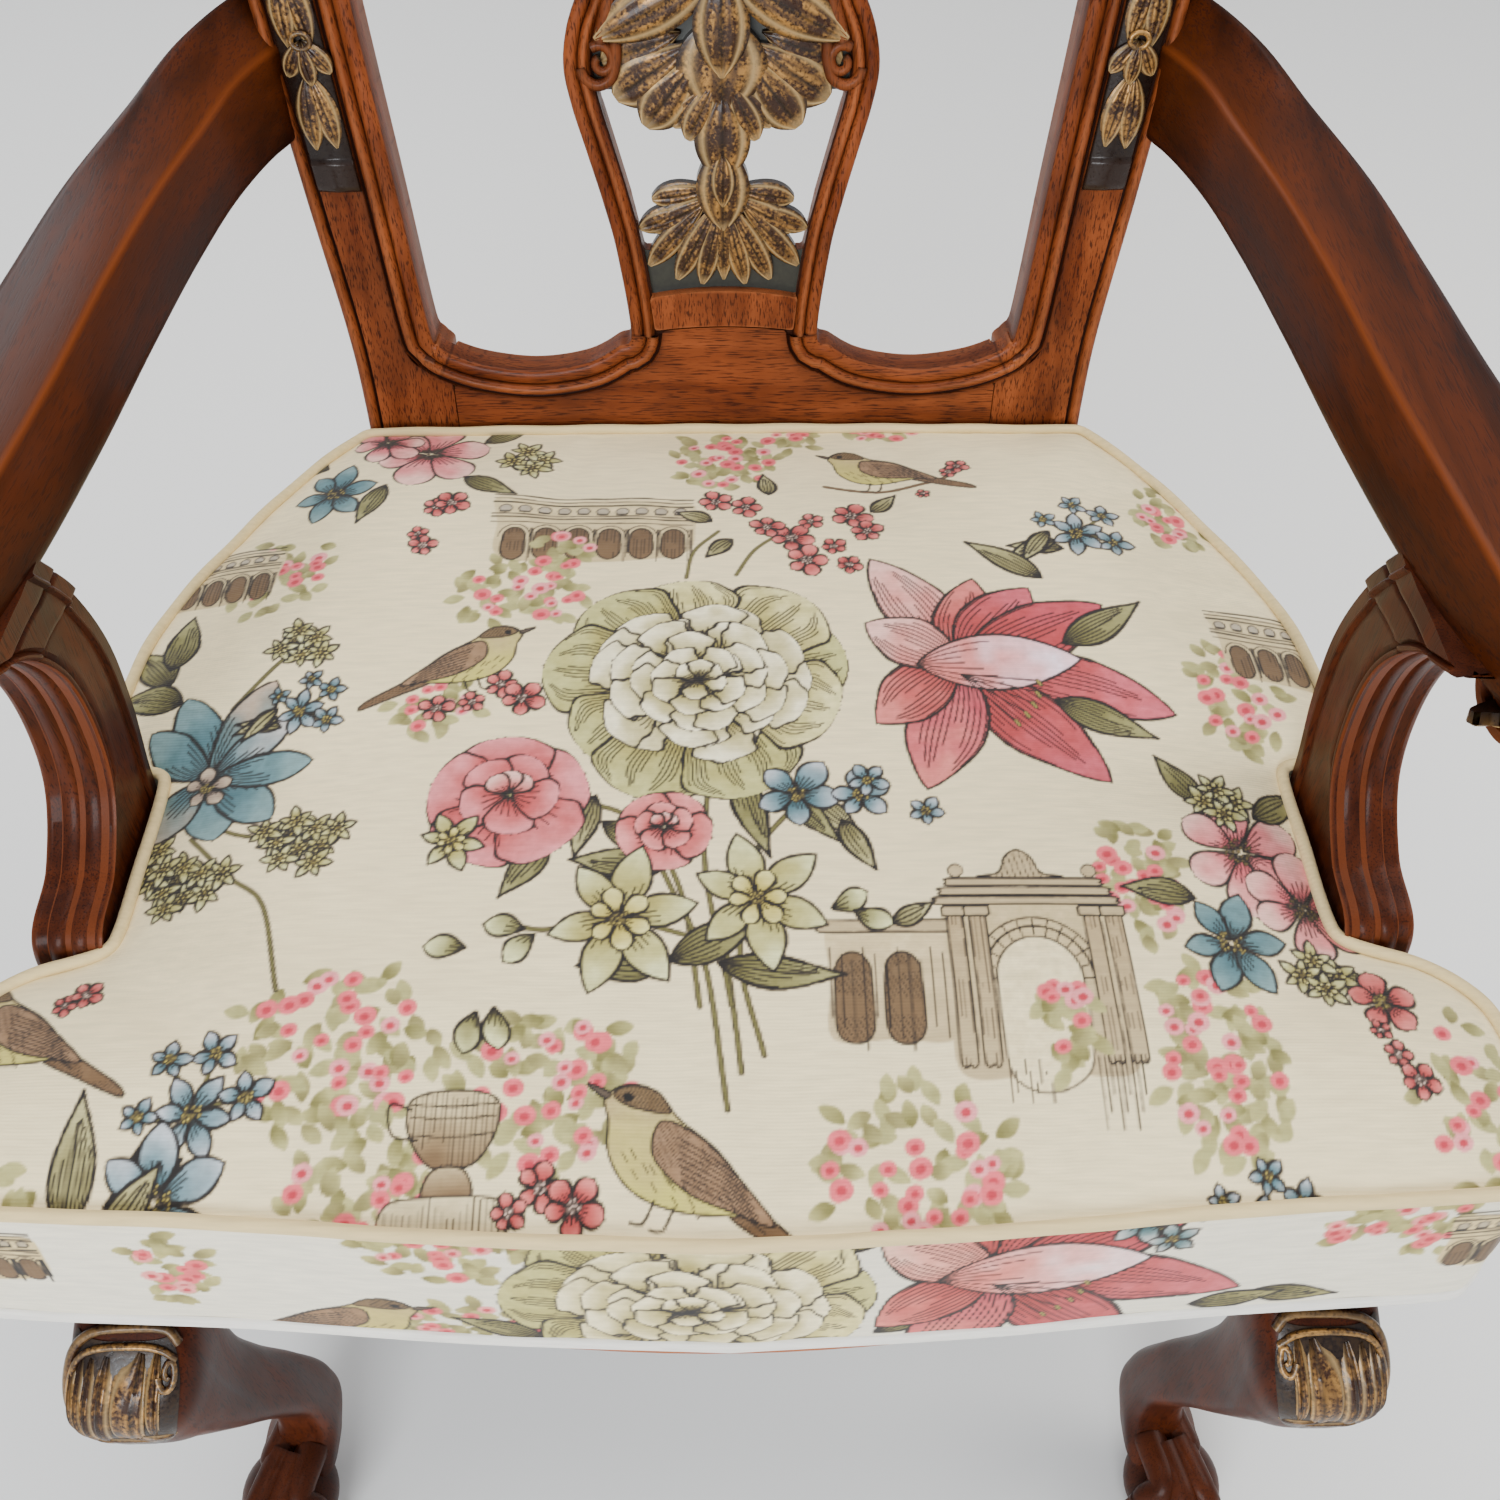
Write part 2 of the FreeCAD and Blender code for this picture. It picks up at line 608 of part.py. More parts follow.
def save_frame():
    """Legs, posts, back, arms and seat frame; returns the pieces the upholstery lies against."""
    raw_leg, raw_post, raw_support = front_leg(), back_post(), arm_support()
    whole_arm = arm().cut(raw_post)
    pins = arm_dowels()
    blocks, screws, side_screws = corner_blocks(), corner_screws(), support_screws()

    splat_piece = splat()
    rail = lower_back_rail()
    crest = crest_rail().cut([raw_post, mirrored(raw_post), tenon(SPLAT_TOP_TENON)])
    whole_side = side_rail().cut(raw_support)
    side = whole_side.cut([*screws, *side_screws])
    front = front_rail()
    back = rear_rail().cut([raw_post, mirrored(raw_post)])
    back = back.fuse([rear_rail_tenon(), mirrored(rear_rail_tenon())]).removeSplitter()

    leg = raw_leg.cut([whole_side, front])
    ear = ear_block().cut(raw_leg)
    post = raw_post.cut([whole_side, back, tenon(RAIL_TENON), *pins])
    support = raw_support.cut([whole_arm, *pins, *side_screws])
    beside = [raw_leg, whole_side, front, back, raw_post, *screws, *[screw_bore(s) for s in screws]]
    blocks = [largest(b.cut(beside)) for b in blocks]

    save_pair(leg, "front_leg")
    save_pair(post, "back_post")
    save_pair(whole_arm.cut(pins), "arm")
    save_pair(support, "arm_support")
    save(splat_piece, "splat")
    save(crest, "crest_rail")
    save(rail, "lower_back_rail")
    save_pair(side, "side_rail")
    save_pair(ear, "ear_block")
    save(front.cut(both(screws)), "front_rail")
    save(back.cut(both(screws)), "rear_rail")
    save(Part.makeCompound(both(blocks)), "corner_blocks")
    save(Part.makeCompound(both(screws)), "corner_block_screws")
    save(Part.makeCompound(both(side_screws)), "arm_support_screws")
    save(Part.makeCompound(both(pins)), "arm_dowels")
    save_pair(husk_strip(), "husk_strip")
    return both([leg, post, whole_side, ear, raw_support]) + [rail, back]


def save_upholstery(wood):
    """Webbing, padding and covers of the seat."""
    cross = RAIL_TOP
    along = cross + WEBBING
    sheet = along + WEBBING
    foam_low = sheet + HESSIAN
    bands = in_bounds(webbing_bands(cross, True), FRAME_INSET + WEB_INSET)
    strips = in_bounds(webbing_bands(along, False), FRAME_INSET + WEB_INSET)
    hessian = seat_slab(FRAME_INSET + HESSIAN_INSET, sheet, foam_low)
    wood = wood + [box(-240, 240, BACK_EDGE - FRAME_INSET - 2, BACK_EDGE + 2, RAIL_BOTTOM, RAIL_TOP)]
    cover = seat_body(0, 0, COVER_BOTTOM).cut(seat_body(CLOTH, CLOTH, COVER_BOTTOM - 5))
    foam = seat_body(CLOTH, CLOTH, foam_low)
    save(Part.makeCompound([b.cut(wood) for b in bands]), "webbing_crosswise")
    save(Part.makeCompound([b.cut(wood) for b in strips]), "webbing_lengthwise")
    save(hessian.cut(wood), "hessian")
    save(foam.cut(wood), "seat_foam")
    save(largest(cover.cut(wood)), "seat_cover")
    save(largest(welt().cut(wood)), "seat_welt")
    save(gimp().cut(wood), "seat_gimp")
    dust = seat_slab(FRAME_INSET + DUST_COVER_INSET, RAIL_BOTTOM - 1, RAIL_BOTTOM)
    save(dust.cut(wood), "dust_cover")


def main():
    os.makedirs("parts", exist_ok=True)
    save_upholstery(save_frame())


main()
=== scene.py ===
"""An open armchair: polished red-brown show wood, antique gilt carving, printed cotton seat."""
import math

import bmesh
import bpy
import numpy as np
from mathutils import Matrix, Vector


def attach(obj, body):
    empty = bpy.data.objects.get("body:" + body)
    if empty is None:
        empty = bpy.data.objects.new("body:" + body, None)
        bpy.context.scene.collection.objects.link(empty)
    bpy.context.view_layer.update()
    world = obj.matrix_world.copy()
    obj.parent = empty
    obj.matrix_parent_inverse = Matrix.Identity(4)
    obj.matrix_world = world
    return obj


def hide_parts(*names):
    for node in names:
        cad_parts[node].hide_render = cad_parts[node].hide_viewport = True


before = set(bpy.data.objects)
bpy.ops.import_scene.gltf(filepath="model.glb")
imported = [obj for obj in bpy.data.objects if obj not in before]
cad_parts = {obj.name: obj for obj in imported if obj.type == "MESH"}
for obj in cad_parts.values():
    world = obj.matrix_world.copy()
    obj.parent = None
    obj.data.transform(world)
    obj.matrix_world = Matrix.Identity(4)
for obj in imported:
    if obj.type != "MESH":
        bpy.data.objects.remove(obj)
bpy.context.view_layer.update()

# ---------------------------------------------------------------- Studio
# A plain pale floor under soft, even light, seen by someone standing in front of the chair
# and looking down into the seat. Two big soft lights stand in for windows in front.


def tilted_view(place, forward, right):
    """Camera matrix from its place, its line of sight and its right-hand side."""
    forward, right = Vector(forward).normalized(), Vector(right).normalized()
    up = right.cross(forward)
    turn = Matrix((right, up, -forward)).transposed().to_4x4()
    return Matrix.Translation(place) @ turn


VIEW_PITCH, VIEW_YAW, VIEW_ROLL = math.radians(49.2), math.radians(1.11), math.radians(0.43)
sight = Vector((math.sin(VIEW_YAW) * math.cos(VIEW_PITCH), math.cos(VIEW_YAW) * math.cos(VIEW_PITCH),
        -math.sin(VIEW_PITCH)))
level = Vector((math.cos(VIEW_YAW), -math.sin(VIEW_YAW), 0.0))
rolled = math.cos(VIEW_ROLL) * level + math.sin(VIEW_ROLL) * level.cross(sight)
camera_data = bpy.data.cameras.new("viewer")
camera_data.sensor_width = 36.0
camera_data.lens = 34.5
camera_data.shift_y = -0.0253
camera_data.clip_start = 0.05
camera = bpy.data.objects.new("viewer", camera_data)
camera.matrix_world = tilted_view(Vector((0.003, -0.521, 1.060)), sight, rolled)
bpy.context.scene.collection.objects.link(camera)
bpy.context.scene.camera = camera


def soft_light(name, place, aim, size, power, tint):
    data = bpy.data.lights.new(name, "AREA")
    data.shape = "RECTANGLE"
    data.size, data.size_y = size
    data.energy = power
    data.color = tint
    lamp = bpy.data.objects.new(name, data)
    lamp.location = place
    lamp.rotation_euler = (Vector(aim) - Vector(place)).to_track_quat("-Z", "Y").to_euler()
    bpy.context.scene.collection.objects.link(lamp)


soft_light("window_front", (-0.7, -2.8, 1.5), (0, 0, 0.45), (1.6, 1.2), 96, (0.94, 0.97, 1.0))
soft_light("window_right", (2.3, 0.2, 2.2), (0, 0, 0.5), (1.4, 1.6), 38, (1.0, 0.97, 0.92))
soft_light("overhead", (0.0, 0.4, 3.0), (0, 0, 0.5), (2.4, 2.4), 62, (1.0, 0.98, 0.95))
soft_light("behind_left", (-1.8, 2.0, 1.8), (0, 0, 0.6), (1.2, 1.2), 16, (0.95, 0.97, 1.0))

world = bpy.data.worlds.new("room")
bpy.context.scene.world = world
world.use_nodes = True
world.node_tree.nodes["Background"].inputs["Color"].default_value = (0.93, 0.95, 1.0, 1.0)
world.node_tree.nodes["Background"].inputs["Strength"].default_value = 0.62


class Wiring:
    """A node tree, with short calls for the nodes that a finish is built from."""

    def __init__(self, tree):
        self.tree = tree

    def node(self, kind, **values):
        made = self.tree.nodes.new(kind)
        for key, value in values.items():
            if hasattr(made, key):
                setattr(made, key, value)
            else:
                self.put(made.inputs[key.replace("_", " ")], value)
        return made

    def put(self, socket, value):
        if isinstance(value, bpy.types.NodeSocket):
            self.tree.links.new(value, socket)
        elif isinstance(value, bpy.types.Node):
            self.tree.links.new(value.outputs[0], socket)
        else:
            socket.default_value = value

    def noise(self, vector, scale, **values):
        return self.node("ShaderNodeTexNoise", Vector=vector, Scale=scale, **values).outputs[0]

    def mix(self, a, b, factor, blend="MIX"):
        made = self.node("ShaderNodeMix", data_type="RGBA", blend_type=blend)
        for name, value in (("Factor", factor), ("A", a), ("B", b)):
            self.put(made.inputs[name], value)
        return made.outputs["Result"]

    def remap(self, value, low, high, to_low, to_high):
        return self.node("ShaderNodeMapRange", Value=value, From_Min=low, From_Max=high,
                To_Min=to_low, To_Max=to_high).outputs[0]

    def combine(self, operation, *values):
        made = self.node("ShaderNodeMath", operation=operation)
        for socket, value in zip(made.inputs, values):
            self.put(socket, value)
        return made.outputs[0]


class Shader(Wiring):
    """One material's node tree, round its own Principled surface."""

    def __init__(self, name):
        self.material = bpy.data.materials.new(name)
        self.material.use_nodes = True
        super().__init__(self.material.node_tree)
        self.surface = self.tree.nodes["Principled BSDF"]

    def set(self, **values):
        for key, value in values.items():
            self.put(self.surface.inputs[key.replace("_", " ")], value)
        return self

    def group(self, tree, **values):
        return self.node("ShaderNodeGroup", node_tree=tree, **values)


def rgb(r, g, b, a=1.0):
    """Linear colour from the 0-255 values of a colour card."""
    line = [c / 255 / 12.92 if c / 255 <= 0.04045 else ((c / 255 + 0.055) / 1.055) ** 2.4 for c in (r, g,
            b)]
    return (*line, a)


floor_mesh = bpy.data.meshes.new("studio_floor")
floor_mesh.from_pydata([(-9, -9, 0), (9, -9, 0), (9, 9, 0), (-9, 9, 0)], [], [(0, 1, 2, 3)])
floor = bpy.data.objects.new("studio_floor", floor_mesh)
bpy.context.scene.collection.objects.link(floor)
floor_paint = Shader("floor_paint").set(Base_Color=rgb(238, 238, 236), Roughness=0.85)
floor.data.materials.append(floor_paint.material)
# ---------------------------------------------------------------- Seat cover
# A cotton cover over deep padding: a T-shaped top panel sewn to a boxing strip about 95 mm
# deep. The cloth is cream, finely ribbed, and printed with flowers, birds and ruins in ink.

DRAWING_SHIFT = 0.04515  # metres from the drawing's zero line back to the middle of the chair
SEAT_EDGE = 478.5
PRINT_STEP = 0.55
DYE_STRENGTH = 1.5


def drawn(x, y, z=0.0):
    """Metres in the chair's frame from millimetres of the maker's drawing."""
    return (x / 1000, y / 1000 - DRAWING_SHIFT, z / 1000)


def in_chair(points):
    """The same for nested rows of points, one row a point."""
    p = np.array(points, float).reshape(-1, 3)
    return np.stack(drawn(p[:, 0], p[:, 1], p[:, 2]), 1)


SEAT_SIDE = [(228, 261), (251, 231), (273, 193), (290, 157), (306, 120), (317, 83), (321, 48), (322, 6)]
SEAT_NOTCH = [(320, -8), (305, -12), (289, -15), (285, -24), (284.5, -60), (284.5, -108), (288, -120)]
SEAT_EAR = [(300, -126), (320, -133), (336, -145), (346, -162), (349, -198), (345, -224), (334, -238),
        (316, -242)]
SEAT_FRONT = [(216, -247), (111, -255), (0, -260)]


def smooth_run(points, step=1.5, closed=False):
    """Even points along a smooth curve through the given ones."""
    p = np.array(points, float)
    n = len(p)
    ends = [p[-1], p, p[0], p[1]] if closed else [2 * p[0] - p[1], p, 2 * p[-1] - p[-2]]
    ext = np.vstack(ends)
    out = []
    for i in range(n if closed else n - 1):
        a, b, c, d = ext[i:i + 4]
        k = max(2, int(np.linalg.norm(c - b) / step) + 1)
        t = np.arange(k)[:, None] / k
        bend, twist = 2 * a - 5 * b + 4 * c - d, 3 * b - a - 3 * c + d
        out.append(0.5 * (2 * b + (c - a) * t + bend * t**2 + twist * t**3))
    if not closed:
        out.append(p[-1:])
    dense = np.vstack(out)
    loop = np.vstack([dense, dense[:1]]) if closed else dense
    lengths = np.r_[0, np.cumsum(np.linalg.norm(np.diff(loop, axis=0), axis=1))]
    count = max(4, int(lengths[-1] / step))
    at = np.linspace(0, lengths[-1], count, endpoint=not closed)
    return np.stack([np.interp(at, lengths, loop[:, i]) for i in range(loop.shape[1])], axis=1)


def seat_outline(step):
    """The whole seat edge, closed, running from the left back corner round the front to the right."""
    left = smooth_run(SEAT_SIDE + SEAT_NOTCH + SEAT_EAR + SEAT_FRONT, step)
    right = left[::-1][1:] * np.array([-1.0, 1.0])
    half, back_y = SEAT_SIDE[0]
    back_x = np.linspace(-half, half, int(2 * half / step) + 2)[1:-1]
    back = np.stack([back_x, back_y + 3.0 * (1 - (back_x / half) ** 2)], axis=1)
    return np.vstack([left, right, back])


def edge_distance(points, loop, chunk=4000):
    """Distance from each point to a closed run of points, and whether the point is inside."""
    a, b = loop, np.roll(loop, -1, axis=0)
    ab = b - a
    length2 = (ab**2).sum(1) + 1e-12
    dist, inside = np.empty(len(points)), np.empty(len(points), bool)
    for start in range(0, len(points), chunk):
        p = points[start:start + chunk, None, :]
        t = np.clip(((p - a) * ab).sum(2) / length2, 0, 1)
        near = a + t[..., None] * ab
        dist[start:start + chunk] = np.sqrt(((p - near) ** 2).sum(2).min(1))
        y = p[..., 1]
        crosses = (a[:, 1] > y) != (b[:, 1] > y)
        safe = np.where(np.abs(ab[:, 1]) < 1e-9, 1e-9, ab[:, 1])
        x_at = a[:, 0] + (y - a[:, 1]) / safe * ab[:, 0]
        inside[start:start + chunk] = (crosses & (p[..., 0] < x_at)).sum(1) % 2 == 1
    return dist, inside


def clipped_grid(xs, ys, level):
    """Flat mesh of the part of a grid where level > 0, cut cleanly along level = 0."""
    ny, nx = level.shape
    inside = level > 0
    corners = [inside[:-1, :-1], inside[:-1, 1:], inside[1:, 1:], inside[1:, :-1]]
    whole, touched = np.logical_and.reduce(corners), np.logical_or.reduce(corners)
    need = np.zeros((ny, nx), bool)
    for di in (0, 1):
        for dj in (0, 1):
            need[di:ny - 1 + di, dj:nx - 1 + dj] |= touched
    need &= inside
    corner_id = -np.ones((ny, nx), int)
    corner_id[need] = np.arange(need.sum())
    points = [(xs[j], ys[i]) for i, j in zip(*np.nonzero(need))]
    i, j = np.nonzero(whole)
    rings = (corner_id[i, j], corner_id[i, j + 1], corner_id[i + 1, j + 1], corner_id[i + 1, j])
    faces = np.stack(rings, 1).tolist()
    crossing = {}

    def cut(i0, j0, i1, j1):
        key = (i0, j0, i1, j1) if (i0, j0) < (i1, j1) else (i1, j1, i0, j0)
        if key not in crossing:
            va, vb = level[i0, j0], level[i1, j1]
            t = min(0.97, max(0.03, va / (va - vb)))
            crossing[key] = len(points)
            points.append((xs[j0] + t * (xs[j1] - xs[j0]), ys[i0] + t * (ys[i1] - ys[i0])))
        return crossing[key]

    for i, j in zip(*np.nonzero(touched & ~whole)):
        ring = [(i, j), (i, j + 1), (i + 1, j + 1), (i + 1, j)]
        face = []
        for a, b in zip(ring, ring[1:] + ring[:1]):
            if inside[a]:
                face.append(int(corner_id[a]))
            if inside[a] != inside[b]:
                face.append(cut(*a, *b))
        if len(face) >= 3:
            faces.append(face)
    return np.array(points), faces


def new_piece(name, vertices, faces, material, smooth=True):
    mesh = bpy.data.meshes.new(name)
    mesh.from_pydata([tuple(v) for v in vertices], [], faces)
    mesh.validate()
    if smooth:
        mesh.polygons.foreach_set("use_smooth", [True] * len(mesh.polygons))
    piece = bpy.data.objects.new(name, mesh)
    bpy.context.scene.collection.objects.link(piece)
    if material is not None:
        mesh.materials.append(material)
    return piece


def points_of(piece):
    co = np.empty(len(piece.data.vertices) * 3, np.float32)
    piece.data.vertices.foreach_get("co", co)
    return co.reshape(-1, 3).astype(float)


def apply_modifiers(piece):
    depsgraph = bpy.context.evaluated_depsgraph_get()
    done = bpy.data.meshes.new_from_object(piece.evaluated_get(depsgraph))
    old = piece.data
    piece.modifiers.clear()
    piece.data = done
    bpy.data.meshes.remove(old)


def paint(piece, name, colours):
    """Stores a linear colour for every point of a piece."""
    layer = piece.data.color_attributes.new(name, "FLOAT_COLOR", "POINT")
    full = np.ones((len(piece.data.vertices), 4), np.float32)
    full[:, :colours.shape[1]] = colours
    layer.data.foreach_set("color", full.ravel())


class ClothPrint:
    """The printed cloth laid flat, in millimetres, as an ink and wash drawing."""

    INK = np.array([44, 34, 28]) / 255

    def __init__(self, x0, x1, y0, y1, ground, seed):
        self.x0, self.y0 = x0, y0
        self.step = PRINT_STEP
        self.nx, self.ny = int((x1 - x0) / self.step) + 1, int((y1 - y0) / self.step) + 1
        self.dice = np.random.default_rng(seed)
        self.rough = self.cloud(3.0) * 0.6 + self.cloud(1.2) * 0.4
        self.wash = self.cloud(9.0)
        self.sheet = np.ones((self.ny, self.nx, 3)) * np.array(ground) / 255

    def cloud(self, size):
        """Soft random patches of the given size in millimetres, from 0 to 1."""
        cells = self.dice.random((int(self.ny * self.step / size) + 3, int(self.nx * self.step / size) + 3))
        y = np.arange(self.ny) * self.step / size
        x = np.arange(self.nx) * self.step / size
        i, j = y.astype(int), x.astype(int)
        fy, fx = (y - i)[:, None], (x - j)[None, :]
        fy, fx = fy * fy * (3 - 2 * fy), fx * fx * (3 - 2 * fx)
        top = cells[i][:, j] * (1 - fx) + cells[i][:, j + 1] * fx
        low = cells[i + 1][:, j] * (1 - fx) + cells[i + 1][:, j + 1] * fx
        return top * (1 - fy) + low * fy

    def window(self, cx, cy, reach):
        j0 = max(0, int((cx - reach - self.x0) / self.step))
        j1 = min(self.nx, int((cx + reach - self.x0) / self.step) + 2)
        i0 = max(0, int((cy - reach - self.y0) / self.step))
        i1 = min(self.ny, int((cy + reach - self.y0) / self.step) + 2)
        if j1 <= j0 or i1 <= i0:
            return None
        part = (slice(i0, i1), slice(j0, j1))
        x = self.x0 + np.arange(j0, j1) * self.step
        y = self.y0 + np.arange(i0, i1) * self.step
        return part, *np.meshgrid(x, y)

    def lay(self, part, amount, colour):
        amount = np.clip(amount, 0, 1)[..., None]
        self.sheet[part] = self.sheet[part] * (1 - amount) + np.asarray(colour) * amount

    def petal(self, x, y, angle, length, width, base, tip, fat=0.62, point=0.75, curl=0.0, hatch=7,
            ink=0.85,
            ruffle=0.0, reach=0.5):
        """One petal or leaf from its root, washed from base to tip, inked round and hatched along."""
        found = self.window(x, y, length * (1.1 + abs(curl)) + width)
        if found is None:
            return
        part, px, py = found
        ca, sa = math.cos(angle), math.sin(angle)
        along = ((px - x) * ca + (py - y) * sa) / length
        across = -(px - x) * sa + (py - y) * ca - curl * length * along**2
        s = np.clip(along, 0, 1)
        half = width / 2 * np.sin(np.pi * s ** (math.log(0.5) / math.log(fat))) ** point
        if ruffle:
            half = half * (1 + ruffle * np.sin(s * 17 + angle * 9) * s)
        gap = np.where((along > 0) & (along < 1), half - np.abs(across),
                -np.hypot(across, (along - s) * length))
        rough, wash = self.rough[part], self.wash[part]
        hatch = min(hatch, int(width / 2.2))
        tone = np.clip(s * 1.2 - 0.1 + (wash - 0.5) * 0.5, 0, 1)[..., None]
        colour = np.array(base) / 255 * (1 - tone) + np.array(tip) / 255 * tone
        colour = colour + (rough[..., None] - 0.5) * 0.07
        self.lay(part, gap / 0.7 + 0.5, colour)
        line = (1.0 + 0.9 * (rough - 0.4)) * min(1.0, 0.55 + width / 18)
        self.lay(part, (1 - np.abs(gap) / line) * 1.7 * ink * (along > -0.02), self.INK)
        if hatch:
            v = across / np.maximum(half, 0.4) * hatch / 2
            lane = np.floor(v + 0.5)
            reach_of = reach * (0.45 + 0.55 * np.abs(np.sin(lane * 2.7 + angle * 5)))
            fine = np.abs(v - lane) * (2 * np.maximum(half, 0.4) / hatch)
            amount = (1 - fine / 0.52) * 1.8 * (s < reach_of) * (gap > 0) * (along > 0)
            self.lay(part, amount * ink * (0.5 + 0.5 * rough), self.INK)

    def near_line(self, points, reach):
        """The part of the cloth round a line, and how far each point of it is from the line."""
        line = smooth_run(points, 2.0) if len(points) > 2 else np.array(points, float)
        centre = line.mean(0)
        found = self.window(*centre, np.abs(line - centre).max() + reach)
        if found is None:
            return None, None
        part, px, py = found
        away = np.full(px.shape, 1e9)
        for (ax, ay), (bx, by) in zip(line, line[1:]):
            dx, dy = bx - ax, by - ay
            t = np.clip(((px - ax) * dx + (py - ay) * dy) / (dx * dx + dy * dy + 1e-9), 0, 1)
            away = np.minimum(away, np.hypot(px - ax - t * dx, py - ay - t * dy))
        return part, away

    def stroke(self, points, width, colour, ink=0.0):
        """A brush line, with an inked edge when ink is given."""
        part, away = self.near_line(points, width + 2)
        if part is None:
            return
        rough = self.rough[part]
        tint = np.array(colour) / 255 + (rough[..., None] - 0.5) * 0.06
        self.lay(part, (width / 2 - away) / 0.5 + 0.5, tint)
        if ink:
            self.lay(part, (1 - np.abs(away - width / 2) / 0.5) * ink * (0.5 + rough), self.INK)

    def pen(self, points, width=0.7, strength=0.85):
        """A thin line of ink."""
        part, away = self.near_line(points, width + 1)
        if part is None:
            return
        core = 0.6 * strength * (away < width) * (0.4 + self.rough[part])
        self.lay(part, (width / 2 - away) / 0.45 + core, self.INK)

    def patch(self, points, colour, strength=1.0, ink=0.8, shade=None, hatch=0.0, lean=0.6):
        """A closed shape: wash, inked edge, and slanting hatch lines if asked."""
        loop = smooth_run(points, 2.0, closed=True)
        centre = loop.mean(0)
        found = self.window(*centre, np.abs(loop - centre).max() + 2)
        if found is None:
            return
        part, px, py = found
        flat = np.stack([px.ravel(), py.ravel()], 1)
        dist, inside = edge_distance(flat, loop)
        gap = np.where(inside, dist, -dist).reshape(px.shape)
        rough, wash = self.rough[part], self.wash[part]
        tint = np.array(colour) / 255 + (rough[..., None] - 0.5) * 0.08
        if shade is not None:
            low, high = loop[:, 1].min(), loop[:, 1].max()
            t = np.clip((py - low) / (high - low) + (wash - 0.5) * 0.4, 0, 1)[..., None]
            tint = tint * t + np.array(shade) / 255 * (1 - t)
        self.lay(part, (gap / 0.7 + 0.5) * strength, tint)
        if ink:
            self.lay(part, (1 - np.abs(gap) / (0.6 + 0.4 * (rough - 0.4))) * 1.6 * ink, self.INK)
        if hatch:
            v = (px + lean * py) / hatch
            fine = np.abs(v - np.floor(v + 0.5)) * hatch
            self.lay(part, (1 - fine / 0.33) * (gap > 0.6) * (wash > 0.42) * 0.8, self.INK)


def turned(x, y, cx, cy, angle, size=1.0):
    """A point of a small drawing, turned, sized and moved to its place on the cloth."""
    c, s = math.cos(angle) * size, math.sin(angle) * size
    return (cx + x * c - y * s, cy + x * s + y * c)


def placing(cx, cy, size=1.0):
    """The same without the turn, as a rule for placing any point."""
    return lambda x, y: (cx + x * size, cy + y * size)


def off(x, y, angle, reach, rise=None):
    """The point of an oval round a point, in a direction from its middle."""
    return (x + reach * math.cos(angle), y + (reach if rise is None else rise) * math.sin(angle))


def arc(at, x, y, rx, ry, first, last, count):
    """Points along part of an oval."""
    return [at(*off(x, y, a, rx, ry)) for a in np.linspace(first, last, count)]


CREAM, IVORY, OLIVE = (247, 235, 194), (232, 220, 162), (178, 164, 92)
MOSS, SAGE, PINK, DEEP_PINK = (138, 130, 76), (160, 150, 98), (228, 150, 132), (192, 88, 80)
BLUSH, BLUE, DEEP_BLUE, MIST = (242, 200, 176), (152, 172, 160), (96, 130, 128), (206, 198, 180)
STONE, STONE_SHADE, STRAW, UMBER = (206, 186, 142), (146, 120, 84), (206, 188, 104), (146, 118, 82)


def blossom(cloth, cx, cy, r, petals, base, tip, turn=0.0, fat=0.66, point=0.6, squash=1.0, eye=STRAW,
        hatch=7, wide=1.35):
    """A flower seen face on: a ring of petals round a stippled eye."""
    for k in range(petals):
        a = turn + k * math.tau / petals + 0.1 * math.sin(k * 2.3)
        reach = r * (0.92 + 0.12 * math.sin(k * 1.7 + turn)) * (squash + (1 - squash) * abs(math.cos(a)))
        cloth.petal(*off(cx, cy, a, 0.06 * r), a, reach, reach * wide * 2.6 / petals, base, tip, fat,
                point, 0.05 * math.sin(k * 3.1), hatch, 0.85)
    for k in range(int(14 + r * 0.5)):
        a, d = cloth.dice.random() * math.tau, r * 0.2 * math.sqrt(cloth.dice.random()) * 1.2
        x, y = off(cx, cy, a, d)
        cloth.stroke([(x, y), (x + 0.3, y + 0.6)], 1.3, eye, 0.7)


def leaf(cloth, x, y, angle, length, width, tint=MOSS, curl=0.1):
    """A pointed leaf with its middle vein."""
    pale = tuple(min(255, c + 44) for c in tint)
    cloth.petal(x, y, angle, length * 1.25, width * 1.25, tint, pale, 0.40, 1.15, curl, 9, 1.0, reach=0.8)
    ends = [turned(length * s, curl * length * s * s, x, y, angle) for s in (0.0, 0.5, 0.95)]
    cloth.pen(ends, 0.7, 0.7)


def leaves(cloth, spots, length, width, tint=MOSS):
    for x, y, angle in spots:
        leaf(cloth, x, y, angle, length, width, tint)


def stems(cloth, lines, width, ink):
    for points in lines:
        cloth.stroke(points, width, MOSS, ink)


def wild_rose(cloth, x, y, r, turn, colour=(222, 124, 120), eye=(150, 130, 70)):
    blossom(cloth, x, y, r, 6, colour, BLUSH, turn, 0.68, 0.5, eye=eye, hatch=6, wide=1.6)


def blue_star(cloth, x, y, r, turn, point=0.85, hatch=8):
    blossom(cloth, x, y, r, 6, DEEP_BLUE, BLUE, turn, 0.55, point, hatch=hatch, wide=1.25)


